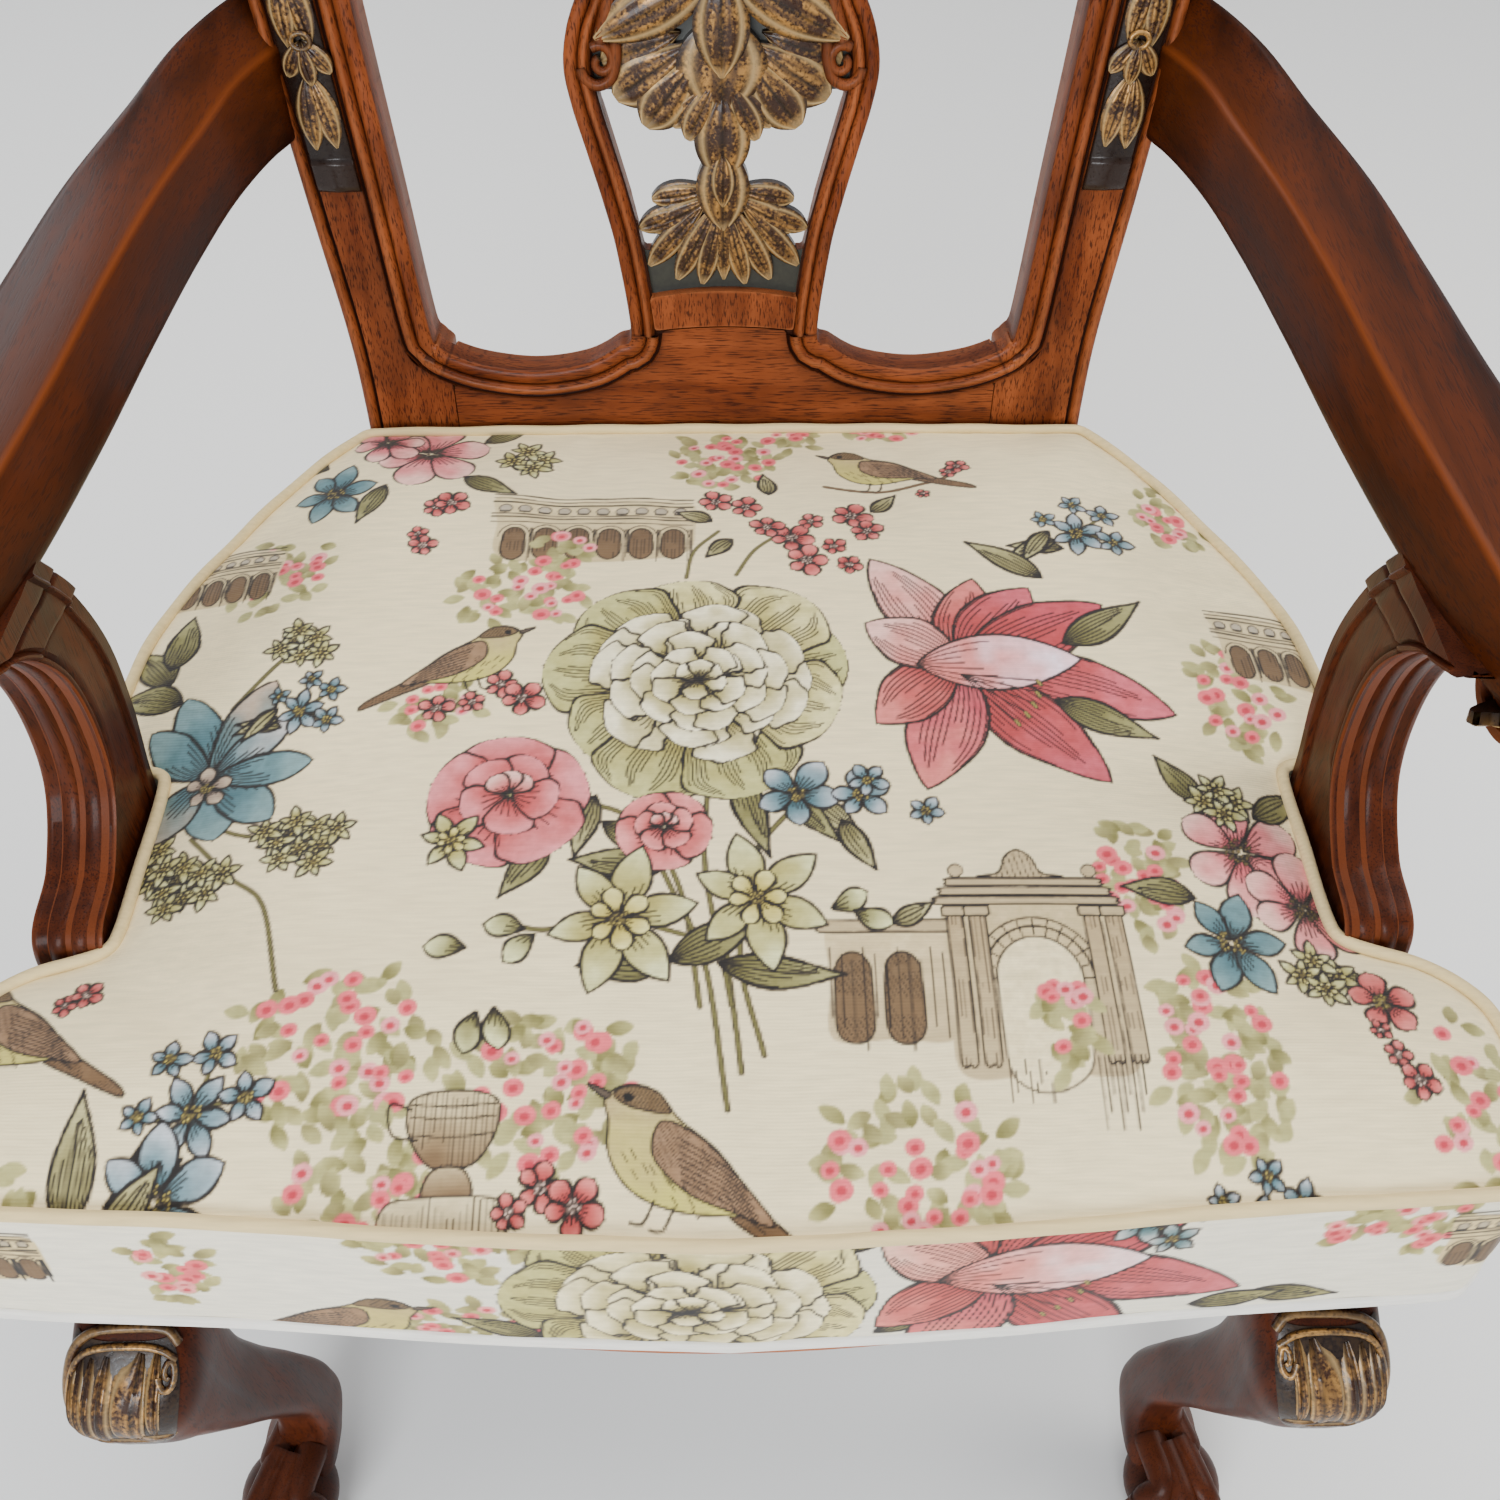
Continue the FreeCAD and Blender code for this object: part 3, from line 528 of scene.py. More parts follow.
def peony(cloth, cx, cy, r):
    """A full, ruffled flower: green guard petals and many cream ones crowding to the heart."""
    for k in range(9):
        a = k * math.tau / 9 + 0.25 + 0.12 * math.sin(k * 4.1)
        tip = IVORY if k in (1, 2, 8) else (208, 200, 138)
        cloth.petal(*off(cx, cy, a, 0.24 * r), a, r * (0.76 + 0.06 * math.sin(k * 2.2)), r * 0.78, OLIVE,
                tip, 0.66, 0.5, 0.06 * math.sin(k * 5), 27, 1.0, 0.06, reach=0.92)
    for ring, (count, inner, size, wide) in enumerate(((12, 0.34, 0.40, 0.42), (12, 0.24, 0.36, 0.36),
            (10, 0.14, 0.32, 0.30),
            (8, 0.05, 0.27, 0.25), (6, 0.0, 0.18, 0.17))):
        for k in range(count):
            a = k * math.tau / count + ring * 0.7 + 0.25 * math.sin(k * 3.7 + ring)
            x, y = cx + inner * r * math.cos(a), cy + inner * r * math.sin(a) * 0.92
            cloth.petal(x, y, a + 0.35 * math.sin(k * 2.9 + ring), size * r, wide * r, (166, 152, 84),
                    CREAM, 0.68, 0.5,
                    0.1 * math.sin(k * 1.9), 9, 1.0, 0.14, reach=0.5)


def rose(cloth, cx, cy, r, turn=0.0, dark=DEEP_PINK, light=(236, 166, 150)):
    """A half-open cup: outer petals folded back round a wrapped heart."""
    for k in range(5):
        a = turn + k * math.tau / 5
        cloth.petal(*off(cx, cy, a, 0.1 * r), a, r * 0.95, r * 1.25, dark, light, 0.62, 0.42,
                0.05 * math.sin(k * 2), 9, 0.9, 0.05, reach=0.6)
    for k in range(5):
        a = turn + 0.6 + k * math.tau / 5
        cloth.petal(*off(cx, cy + 0.1 * r, a, 0.05 * r), a, r * 0.6, r * 0.66, dark, light, 0.66, 0.45,
                0.1, 6, 0.9, 0.04, reach=0.55)
    for k in range(3):
        a = math.pi / 2 + (k - 1) * 0.8
        cloth.petal(cx, cy + 0.12 * r, a, r * 0.36, r * 0.34, dark, BLUSH, 0.66, 0.5, 0.0, 4, 0.9)


def lily(cloth, cx, cy, r):
    """A wide open trumpet flower of long pointed petals, deep pink inside and pale outside."""
    arms = [(1.95, 1.0, 0.42, PINK, BLUSH, 0.10), (1.45, 0.72, 0.36, DEEP_PINK, PINK, -0.1),
            (0.9, 0.80, 0.44, DEEP_PINK, (214, 122, 122), 0.0),
            (0.42, 1.05, 0.46, DEEP_PINK, (206, 104, 108), 0.06),
            (-0.2, 1.28, 0.44, DEEP_PINK, (218, 128, 128), -0.08),
            (-0.95, 1.15, 0.46, DEEP_PINK, (212, 118, 118), 0.10),
            (-1.75, 0.98, 0.46, (206, 104, 108), PINK, -0.1), (-2.5, 0.70, 0.40, DEEP_PINK, PINK, 0.1),
            (2.6, 0.62, 0.40, PINK, BLUSH, 0.0)]
    for a, length, wide, base, tip, curl in arms:
        cloth.petal(cx, cy, a, r * length, r * wide, base, tip, 0.5, 0.8, curl, 13, 0.9, 0.03, reach=0.85)
    cloth.petal(cx - 0.25 * r, cy - 0.02 * r, 0.05, r * 0.98, r * 0.44, PINK, (250, 228, 218), 0.48, 0.8,
            0.0, 8, 0.9, reach=0.5)
    for k in range(5):
        a = -0.9 + 0.2 * k
        end = turned(r * 0.45, 0, cx, cy - 0.1 * r, a)
        cloth.pen([(cx, cy - 0.1 * r), end], 0.8, 0.9)
        cloth.stroke([end, (end[0] + 1.5, end[1] - 3)], 2.0, OLIVE, 0.8)


def berries(cloth, cx, cy, rx, ry, count, seed):
    """A loose spray of little roses and soft leaf dabs, printed without ink."""
    dice = np.random.default_rng(seed)
    for k in range(int(count * 2.6)):
        a, d = dice.random() * math.tau, math.sqrt(dice.random())
        x, y = off(cx, cy, a, rx * d, ry * d)
        tint = [SAGE, (150, 142, 86), (188, 180, 124)][k % 3]
        cloth.petal(x, y, dice.random() * math.tau, 9 + 5 * dice.random(), 7.0, tint, (200, 190, 132), 0.5,
                0.7, 0.1, 0, 0.0)
    for k in range(count):
        a, d = dice.random() * math.tau, math.sqrt(dice.random()) * 0.92
        x, y = off(cx, cy, a, rx * d, ry * d)
        r = 2.8 + 1.8 * dice.random()
        cloth.stroke([(x - 0.5, y), (x + 0.6, y + 0.4)], r * 2,
                (234, 132, 128) if k % 3 else (240, 172, 160))
        cloth.stroke([(x - 0.4, y - 0.3), (x + 0.4, y)], r * 0.8, (206, 84, 92))


def cluster(cloth, points, r, dark=DEEP_PINK, light=PINK):
    for k, (x, y) in enumerate(points):
        blossom(cloth, x, y, r * (0.85 + 0.25 * math.sin(k * 2.1)), 5, dark, light, k * 0.9, 0.66, 0.5,
                eye=(250, 220, 190), hatch=4, wide=1.5)


def sparrow(cloth, cx, cy, size, flip=1, turn=0.0):
    """A small perching bird, looking to its left when flip is 1."""

    def at(x, y):
        return turned(x * flip, y, cx, cy, turn, size)

    def shape(points):
        return [at(x, y) for x, y in points]

    cloth.patch(shape([(24, -2), (40, -8), (58, -15), (60, -19), (40, -15), (22, -10)]), UMBER, hatch=2.4,
            lean=1.5)
    cloth.patch(shape([(-30, 12), (-24, 19), (-14, 20), (-4, 14), (12, 8), (26, -1), (30, -7), (18, -12),
            (2, -15), (-12, -13), (-22, -5), (-26, 5)]),
            (204, 184, 132), shade=(214, 202, 118), ink=0.9)
    cloth.patch(shape([(-8, 12), (6, 10), (22, 2), (38, -8), (26, -9), (8, -8), (-6, -2), (-10, 5)]),
            (170, 140, 104), hatch=2.0, lean=1.1, ink=0.9)
    cloth.patch(shape([(-28, 14), (-23, 19), (-14, 20), (-7, 15), (-14, 13), (-22, 12)]), (146, 122, 84),
            hatch=1.8, ink=0.7)
    for k in range(7):
        y = 8 - 2.1 * k
        cloth.pen([at(-2 + k, y), at(12 + 2 * k, y - 3), at(24 + 2 * k, y - 7)], 0.55, 0.8)
    for k in range(12):
        x, y = -18 + 2.6 * k, -3 - 0.6 * k + 3 * math.sin(k * 2.2)
        cloth.pen([at(x, y), at(x + 3, y - 2.4)], 0.5, 0.6)
    cloth.patch(shape([(-29, 14), (-38, 14.5), (-30, 11.5)]), (120, 104, 84), ink=1.0)
    cloth.stroke([at(-23, 14.6), at(-22.4, 14.8)], 2.6 * size, (30, 26, 24), 1.0)
    for leg in (-2, 5):
        cloth.pen([at(leg, -14), at(leg - 1, -22), at(leg - 5, -23)], 0.9, 1.0)


def archway(cloth, cx, cy, size):
    """A ruined triumphal arch with a run of lower arches beside it, in sepia wash and pen."""
    at = placing(cx, cy, size)

    def bar(x0, x1, y0, y1, tint=STONE, hatch=0.0, ink=0.75):
        mx, my = x0 + (x1 - x0) * 0.5, y0 + (y1 - y0) * 0.5
        corners = ((x0, y0), (mx, y0), (x1, y0), (x1, my), (x1, y1), (mx, y1), (x0, y1), (x0, my))
        cloth.patch([at(*p) for p in corners], tint, 0.85, ink, STONE, hatch, 0.0)

    bar(-84, -30, -34, 20, (230, 210, 162), 0, 0.0)
    bar(-30, 44, -50, 34, (220, 200, 152), 0, 0.0)
    for x in (-74, -52):
        ring = arc(at, x, -4, 8, 10, 0, math.pi, 7)
        cloth.patch(ring + [at(x - 8, -30), at(x, -36), at(x + 8, -30)], (140, 116, 82), 0.9, 0.8,
                STONE_SHADE, 2.6)
    bar(-88, -28, 16, 22, STONE, 0)
    for k in range(12):
        cloth.pen([at(-84 + 5 * k, 8 - (k % 3) * 3), at(-84 + 5 * k, -24 - (k % 4) * 5)], 0.55, 0.7)
    for k, lift in enumerate((30, 35, 40)):
        bar(-34 + k * 3, 48 - k * 3, lift, lift + 4, STONE, 0, 0.9)
    for r, w in ((24, 0.9), (28, 0.7), (19, 0.9)):
        cloth.pen(arc(at, 8, -8, r, r * 1.1, -0.1, math.pi + 0.1, 14), w, 0.95)
    gap = [at(*p) for p in ((-11, -30), (-8, -52), (8, -58), (24, -50), (27, -30))]
    cloth.patch(arc(at, 8, -8, 19, 21, 0, math.pi, 9) + gap, (243, 226, 178), 0.9, 0.5)
    for k in range(13):
        a = math.pi * k / 12
        cloth.pen([at(*off(8, -8, a, 20, 22)), at(*off(8, -8, a, 27, 30))], 0.55, 0.8)
    for x0 in (-30, -20, 32, 42):
        bar(x0, x0 + 7, -46, 24, (198, 176, 132), 2.2, 0.8)
        bar(x0 - 2, x0 + 9, 24, 29, STONE, 0, 0.9)
    for k in range(9):
        cloth.pen([at(-10 + 2.2 * k, -44 - (k % 3) * 5), at(-10 + 2.2 * k, -62 + (k % 4) * 4)], 0.6, 0.7)
        cloth.pen([at(28 + 2.2 * k, -44), at(28 + 2.2 * k, -74 + (k % 3) * 7)], 0.6, 0.7)
    finial = ((-14, 45), (-4, 47), (0, 56), (6, 60), (12, 56), (16, 47), (26, 45), (6, 44))
    cloth.patch([at(*p) for p in finial], STONE, 0.9, 0.95, None, 3.0, 0.2)
    for x in (-24, 38):
        cloth.stroke([at(x, 48), at(x + 0.5, 48.5)], 6.5 * size, STONE, 0.9)


def colonnade(cloth, cx, cy, size):
    """A long ruined gallery: cornice, a row of round bosses and deep-shaded arches."""
    at = placing(cx, cy, size)
    wall = ((-62, 26), (-30, 24), (0, 27), (40, 26), (64, 22), (66, -4), (60, -30), (20, -38), (-30, -38),
            (-58, -30), (-60, 0))
    cloth.patch([at(*p) for p in wall], (230, 212, 164), 0.8, 0.0, (216, 196, 148))
    for y, w in ((28, 1.0), (24, 0.6), (20, 1.2), (8, 0.8), (5, 1.0), (0, 0.6)):
        cloth.pen([at(-64, y + 1), at(-20, y), at(20, y + 1), at(64, y - 1)], w, 0.9)
    for k in range(10):
        x = -56 + 12.4 * k
        cloth.stroke([at(x, 14), at(x + 0.5, 14.2)], 7.5 * size, (200, 186, 156), 0.9)
        cloth.pen([at(x - 3, 11), at(x + 3, 11)], 1.1, 0.9)
    for k in range(6):
        x = -48 + 20 * k
        ring = arc(at, x, -14, 7, 9, 0, math.pi, 7)
        cloth.patch(ring + [at(x - 7, -30), at(x, -36), at(x + 7, -30)], (134, 110, 78), 0.9, 0.8,
                STONE_SHADE, 2.2, 0.0)
        cloth.pen(arc(at, x, -14, 10, 12, 0, math.pi, 8), 0.6, 0.8)
        for j in range(3):
            cloth.pen([at(x + 9.5 + j, -6), at(x + 9.5 + j, -38 + 4 * j)], 0.55, 0.7)


def urn(cloth, cx, cy, size):
    """A stone urn on a block, in sepia line."""
    at = placing(cx, cy, size)
    bowl = ((-17, 16), (-18, 4), (-11, -8), (-4, -12), (4, -12), (12, -8), (18, 4), (17, 16), (0, 19))
    cloth.patch([at(*p) for p in bowl], (226, 208, 160), 1.0, 0.9, STONE_SHADE, 2.2, 0.0)
    cloth.patch([at(-6, -12), at(-10, -22), at(0, -24), at(10, -22), at(6, -12)], STONE, 1.0, 0.9,
            STONE_SHADE)
    cloth.patch([at(-22, -24), at(-24, -36), at(0, -40), at(24, -36), at(22, -24), at(0, -22)],
            (228, 212, 166), 1.0, 0.7, STONE, 2.6, 0.0)
    cloth.pen([at(-17, 12), at(-26, 14), at(-24, 2), at(-14, 0)], 1.0, 0.9)
    for y in (14, 9, 2):
        cloth.pen([at(-17, y), at(0, y - 1.5), at(17, y)], 0.6, 0.8)


def blue_branch(cloth, x, y, angle, size):
    """Star-shaped blue flowers and buds on one leafy twig."""
    heads = [(0, 0, 15), (24, 10, 9), (17, -14, 10), (12, 24, 8), (-12, 18, 7)]
    for dx, dy, _ in heads[1:]:
        bends = ((0, 0), (dx * 0.6, dy * 0.5), (dx, dy))
        cloth.stroke([turned(*p, x, y, angle, size) for p in bends], 1.6, MOSS, 0.7)
    for k in range(3):
        lx, ly = turned(-14, -8 + 8 * k, x, y, angle, size)
        leaf(cloth, lx, ly, angle + 2.6 + 0.5 * k, 26 * size, 9 * size, SAGE)
    for k, (dx, dy, r) in enumerate(heads):
        fx, fy = turned(dx, dy, x, y, angle, size)
        blossom(cloth, fx, fy, r * size * 1.15, 6 if k == 0 else 5, DEEP_BLUE, (204, 202, 190), angle + k,
                0.55, 0.8, hatch=6, wide=1.2)


def iris(cloth, x, y, size):
    mauve = (206, 184, 154)
    for a, length, wide, tip in ((1.9, 52, 24, BLUE), (1.25, 60, 22, mauve), (2.5, 44, 22, BLUE),
            (0.75, 48, 18, MIST), (-1.35, 40, 26, BLUE),
            (-0.6, 46, 24, BLUE), (-2.2, 44, 24, mauve), (0.1, 50, 20, BLUE)):
        cloth.petal(x, y, a, length * size, wide * size, DEEP_BLUE, tip, 0.56, 0.65,
                0.08 * math.sin(a * 4), 9, 0.9, 0.03, reach=0.6)
    blossom(cloth, x, y - 6, 12 * size, 5, (150, 130, 112), (206, 186, 154), 0.4, hatch=5)


def daffodil(cloth, x, y, r, turn):
    blossom(cloth, x, y, r, 6, OLIVE, (228, 222, 168), turn, 0.5, 0.85, hatch=6, wide=1.15)
    blossom(cloth, x, y, r * 0.42, 6, (196, 178, 92), (230, 218, 150), turn + 0.5, 0.7, 0.5, hatch=3,
            wide=1.5)


def bouquet(cloth, x, y):
    """The main bunch, placed by the middle of its big cream flower."""
    at = placing(x, y)
    for pts in ([(-60, -78), (-30, -92), (-8, -130), (2, -190)],
            [(-30, -90), (-12, -130), (4, -170), (14, -236)],
            [(50, -80), (28, -110), (14, -150), (20, -220)], [(24, -134), (20, -170), (30, -212)],
            [(5, -70), (4, -120), (16, -190)], [(-92, -146), (-70, -152), (-40, -146), (10, -160)]):
        stems(cloth, [[at(*p) for p in pts]], 2.2, 0.8)
    for lx, ly, a, length, wide in ((-64, -86, 2.6, 34, 13), (-46, -92, -0.6, 36, 12),
            (-12, -168, 0.4, 40, 15), (10, -170, -0.2, 46, 13),
            (-70, -104, -2.3, 30, 12), (54, -76, -0.9, 30, 11), (70, -92, -1.2, 26, 10),
            (-16, -120, 2.9, 36, 14), (20, -60, -1.4, 44, 13), (38, -66, -1.0, 40, 12),
            (95, -24, 0.9, 34, 12), (-50, -76, -1.9, 30, 11), (-16, -172, 3.0, 30, 12),
            (90, -150, 0.4, 18, 8)):
        leaf(cloth, *at(lx, ly), a, length, wide, MOSS if wide > 11 else SAGE)
    for pts in ([(-8, 78), (-4, 100), (10, 120)], [(20, 80), (30, 100), (44, 116)]):
        cloth.stroke([at(*p) for p in pts], 1.8, MOSS, 0.6)
    lily(cloth, *at(138, 12), 90)
    leaf(cloth, *at(196, 26), 0.5, 46, 17)
    leaf(cloth, *at(186, -14), -0.5, 44, 16)
    peony(cloth, x, y, 80)
    rose(cloth, *at(-93, -78), 38, 0.4, DEEP_PINK, (232, 160, 150))
    cluster(cloth, [at(-104, -2), at(-92, -12), at(-118, -14), at(-136, -18)], 11)
    rose(cloth, *at(-16, -97), 22, 1.0)
    for bx, by, r in ((48, -76, 19), (80, -77, 13), (84, -68, 9), (111, -87, 8)):
        blossom(cloth, *at(bx, by), r * 1.15, 5, DEEP_BLUE, (200, 200, 188), bx * 0.1, 0.58, 0.6, hatch=6,
                wide=1.3)
    daffodil(cloth, *at(-36, -146), 37, 0.2)
    daffodil(cloth, *at(28, -136), 35, 0.7)
    for bx, by, a in ((68, -140, 0.4), (78, -146, -0.5), (-84, -150, 2.9), (-78, -158, -2.4),
            (-88, -196, -1.5), (-98, -198, -1.9), (-110, -160, 3.0)):
        cloth.petal(*at(bx - 6 * math.cos(a), by - 6 * math.sin(a)), a, 19, 12, MOSS, (232, 226, 170), 0.6,
                0.7, 0.1, 4, 0.9)
    daffodil(cloth, *at(-118, -102), 17, 0.9)
    spray = ((26, 144), (52, 113), (64, 128), (38, 124), (88, 134), (76, 104), (96, 118), (60, 92),
            (84, 88), (8, 150))
    cluster(cloth, [at(*p) for p in spray], 12)
    sprigs = ((6, 130, 2.6), (100, 138, 0.7), (40, 158, 1.6), (18, 112, -2.4))
    leaves(cloth, [(*at(lx, ly), a) for lx, ly, a in sprigs], 18, 9, SAGE)


CLOTH_GROUND = (244, 227, 180)
# The boxing is the same cloth as the top; its paler, cooler ground is painted light, the cool daylight
# falling on the front of the strip.
BOXING_GROUND_PAINTED_DAYLIGHT = (240, 232, 208)
top_print = ClothPrint(-356, 356, -268, 272, CLOTH_GROUND, 11)


def print_top(cloth):
    """The panel over the seat, in the drawing's millimetres."""
    for spot in ((-112, 100, 38, 26, 22, 1), (-253, 121, 26, 34, 18, 2), (214, -185, 26, 52, 30, 3),
            (78, -229, 42, 32, 26, 4),
            (0, 226, 30, 34, 24, 5), (-172, -178, 46, 36, 30, 6), (-76, -196, 40, 34, 28, 7),
            (-150, -236, 34, 26, 18, 8), (272, 26, 22, 34, 16, 9), (266, 168, 20, 34, 14, 10),
            (196, -96, 22, 34, 18, 11), (322, -206, 26, 40, 14, 12), (-302, -244, 20, 20, 8, 13),
            (-150, 14, 22, 16, 10, 14), (100, 262, 24, 12, 8, 15), (40, 252, 16, 12, 6, 16)):
        berries(cloth, *spot)
    colonnade(cloth, -78, 158, 0.92)
    colonnade(cloth, -300, 128, 0.7)
    colonnade(cloth, 318, 66, 0.8)
    archway(cloth, 132, -140, 1.02)
    urn(cloth, -116, -216, 1.05)
    berries(cloth, -92, 132, 16, 16, 8, 21)
    berries(cloth, 150, -168, 12, 22, 9, 22)
    stems(cloth, ([(-262, -60), (-236, -86), (-216, -104), (-200, -150)],
            [(-262, -44), (-240, -60), (-206, -66)],
            [(-258, 20), (-240, 46), (-228, 60)]), 1.9, 0.8)
    for cx, cy, n in ((-206, -66, 11), (-258, -88, 10), (-228, 60, 7), (-284, -70, 6)):
        for k in range(n):
            a = k * 2.4
            daffodil(cloth, *off(cx, cy, a, 5 + 1.7 * k, 4 + 1.3 * k), 9.5, a)
    leaves(cloth, ((-296, 40, 2.2), (-286, 26, 2.8), (-300, 52, 1.4)), 34, 16)
    iris(cloth, -262, -22, 1.05)
    blue_branch(cloth, -222, 16, 0.3, 0.75)
    blue_branch(cloth, 204, 146, 0.4, 1.0)
    leaf(cloth, 178, 108, 2.4, 40, 13, SAGE)
    for x, y, r, turn in ((-183, 232, 36, 0.3), (-212, 246, 24, 1.3)):
        wild_rose(cloth, x, y, r, turn, (214, 112, 112), (120, 96, 60))
    for k in range(4):
        daffodil(cloth, *off(-122, 226, k * 1.7, 9, 11), 12, k)
    leaves(cloth, ((-152, 250, 0.6), (-204, 196, -2.0), (-158, 204, -0.6), (-246, 224, 2.6)), 30, 12)
    blue_star(cloth, -236, 194, 26, 0.2, 0.8, 7)
    cluster(cloth, [(-171, 172), (-162, 176), (-178, 148), (-174, 138)], 10)
    wild_rose(cloth, 249, -75, 34, 0.5)
    wild_rose(cloth, 274, -104, 30, 1.5)
    leaves(cloth, ((262, -52, 0.5), (220, -104, 2.9), (268, -136, -0.6), (236, -46, 2.0)), 28, 12)
    blue_star(cloth, 232, -128, 27, 0.1)
    for k in range(4):
        daffodil(cloth, *off(246, -44, k * 1.6, 8), 11, k)
        daffodil(cloth, *off(270, -142, k * 1.6, 8), 11, k + 0.5)
    blossom(cloth, 294, -157, 16, 5, DEEP_PINK, PINK, 0.3, hatch=5, wide=1.5)
    cluster(cloth, [(292, -184), (298, -196), (288, -172)], 8)
    bouquet(cloth, -14, 31)
    cloth.stroke([(60, 196), (96, 190), (122, 196), (140, 206)], 2.0, UMBER, 0.8)
    sparrow(cloth, 92, 214, 1.0, 1, -0.12)
    cluster(cloth, [(136, 208), (142, 214), (118, 184)], 7)
    sparrow(cloth, -136, 47, 1.0, -1, 0.25)
    sparrow(cloth, -22, -226, 1.25, 1, -0.35)
    cluster(cloth, [(-78, -236), (-64, -244), (-90, -246)], 12)
    sparrow(cloth, -318, -164, 1.1, 1, -0.2)
    cluster(cloth, [(-296, -152), (-288, -146)], 7)
    blue_branch(cloth, -226, -206, 1.0, 1.05)
    blossom(cloth, -236, -240, 30, 6, DEEP_BLUE, (202, 202, 190), 0.5, 0.56, 0.75, hatch=8, wide=1.25)
    leaf(cloth, -272, -252, 1.5, 46, 15, SAGE)
    leaf(cloth, -256, -256, 0.9, 30, 12, SAGE)
    blue_branch(cloth, 218, -258, 0.2, 0.9)


print_top(top_print)


def deepen(cloth, ground):
    """Lets the dyes bite: every colour is carried further from the bare ground."""
    bare = np.array(ground) / 255
    cloth.sheet = np.clip(bare * np.maximum(cloth.sheet / bare, 0.0) ** DYE_STRENGTH, 0, 1)


deepen(top_print, CLOTH_GROUND)


def read_cloth(cloth, x, y):
    """Linear colour of the printed cloth at drawing points."""
    u = np.clip((x - cloth.x0) / cloth.step, 0, cloth.nx - 1.001)
    v = np.clip((y - cloth.y0) / cloth.step, 0, cloth.ny - 1.001)
    i, j = v.astype(int), u.astype(int)
    fy, fx = (v - i)[:, None], (u - j)[:, None]
    s = cloth.sheet
    c = (s[i, j] * (1 - fx) + s[i, j + 1] * fx) * (1 - fy) + (s[i + 1, j] * (1 - fx) + s[i + 1,
            j + 1] * fx) * fy
    c = np.clip(c, 0, 1)
    return np.where(c <= 0.04045, c / 12.92, ((c + 0.055) / 1.055) ** 2.4)


def shared_effect(name, inputs, outputs):
    """A node group that several finishes place with their own values, and its two ends."""
    tree = bpy.data.node_groups.new(name, "ShaderNodeTree")
    for label, (kind, default) in inputs.items():
        socket = tree.interface.new_socket(label, in_out="INPUT", socket_type="NodeSocket" + kind)
        socket.default_value = default
    for label, kind in outputs.items():
        tree.interface.new_socket(label, in_out="OUTPUT", socket_type="NodeSocket" + kind)
    give, take = tree.nodes.new("NodeGroupInput"), tree.nodes.new("NodeGroupOutput")
    return Wiring(tree), give.outputs, take.inputs


def rib_weave():
    """Fine ribs both ways with a slight slub, as a height."""
    w, give, take = shared_effect("rib_weave", {"Ribs": ("Float", 1500.0)},
            {"Height": "Float", "Slub": "Float"})
    coords = w.node("ShaderNodeTexCoord").outputs["Object"]
    split = w.node("ShaderNodeSeparateXYZ", Vector=coords).outputs
    across = w.combine("SINE", w.combine("MULTIPLY", split["Y"], give["Ribs"]))
    along = w.combine("MULTIPLY", w.combine("MULTIPLY", split["X"], give["Ribs"]), 0.6)
    ribs = w.combine("ADD", across, w.combine("MULTIPLY", w.combine("SINE", along), 0.4))
    slub = w.noise(w.node("ShaderNodeMapping", Vector=coords, Scale=(0.12, 1.0, 1.0)), 420.0)
    w.put(take["Height"], w.combine("ADD", ribs, slub))
    w.put(take["Slub"], slub)
    return w.tree


rib_tree = rib_weave()


def cotton(name, colour=None, ribs=4200.0):
    """Ribbed cotton; its colour is the print unless a plain one is given."""
    s = Shader(name)
    weave = s.group(rib_tree, Ribs=ribs).outputs
    dye = colour or s.node("ShaderNodeAttribute", attribute_name="print").outputs["Color"]
    cloth_colour = s.mix(dye, s.remap(weave["Slub"], 0.3, 0.7, 0.9, 1.04), 1.0, "MULTIPLY")
    bump = s.node("ShaderNodeBump", Height=weave["Height"], Strength=0.22, Distance=0.0002)
    s.set(Base_Color=cloth_colour, Roughness=0.86, Normal=bump, Sheen_Weight=0.12, Sheen_Roughness=0.5)
    return s.material


printed_cotton = cotton("printed_cotton")

outline = seat_outline(2.0)
CELL = 7.0
gx = np.arange(-357, 357.1, CELL)
gy = np.arange(-266, 270.1, CELL)
mesh_x, mesh_y = np.meshgrid(gx, gy)
flat = np.stack([mesh_x.ravel(), mesh_y.ravel()], 1)
dist, inside = edge_distance(flat, outline)
level = np.where(inside, dist, -dist).reshape(mesh_x.shape)
plan, cover_faces = clipped_grid(gx, gy, level)
edge_gap, _ = edge_distance(plan, outline)


def crown_height(gap):
    """How the padding stands above the piped edge at a distance in from it."""
    return 6.5 * (1 - np.exp(-gap / 12)) + 9.5 * (1 - np.exp(-gap / 110))


cover_points = in_chair(np.column_stack([plan, SEAT_EDGE + crown_height(edge_gap)]))
seat_top = new_piece("seat_cover_top", cover_points, cover_faces, None)


SETTLING_FRAMES = 20
MOST_PULL = 0.006


def pull_taut(piece, held, pressure):
    """Cloth held along its seam and pushed up from inside by the padding."""
    group = piece.vertex_groups.new(name="seam")
    group.add([int(i) for i in held], 1.0, "REPLACE")
    cloth = piece.modifiers.new("padding", "CLOTH")
    settings = cloth.settings
    for name, value in dict(
            quality=6, mass=0.3, tension_stiffness=30, compression_stiffness=30, shear_stiffness=12,
            bending_stiffness=2.0, vertex_group_mass="seam", use_pressure=True,
            uniform_pressure_force=pressure, shrink_min=-0.004).items():
        setattr(settings, name, value)
    settings.effector_weights.gravity = 0.0
    cloth.collision_settings.use_collision = False
    cloth.point_cache.frame_start, cloth.point_cache.frame_end = 1, SETTLING_FRAMES
    scene = bpy.context.scene
    for step in range(1, SETTLING_FRAMES + 1):
        scene.frame_set(step)
        bpy.context.view_layer.update()
    apply_modifiers(piece)
    scene.frame_set(1)


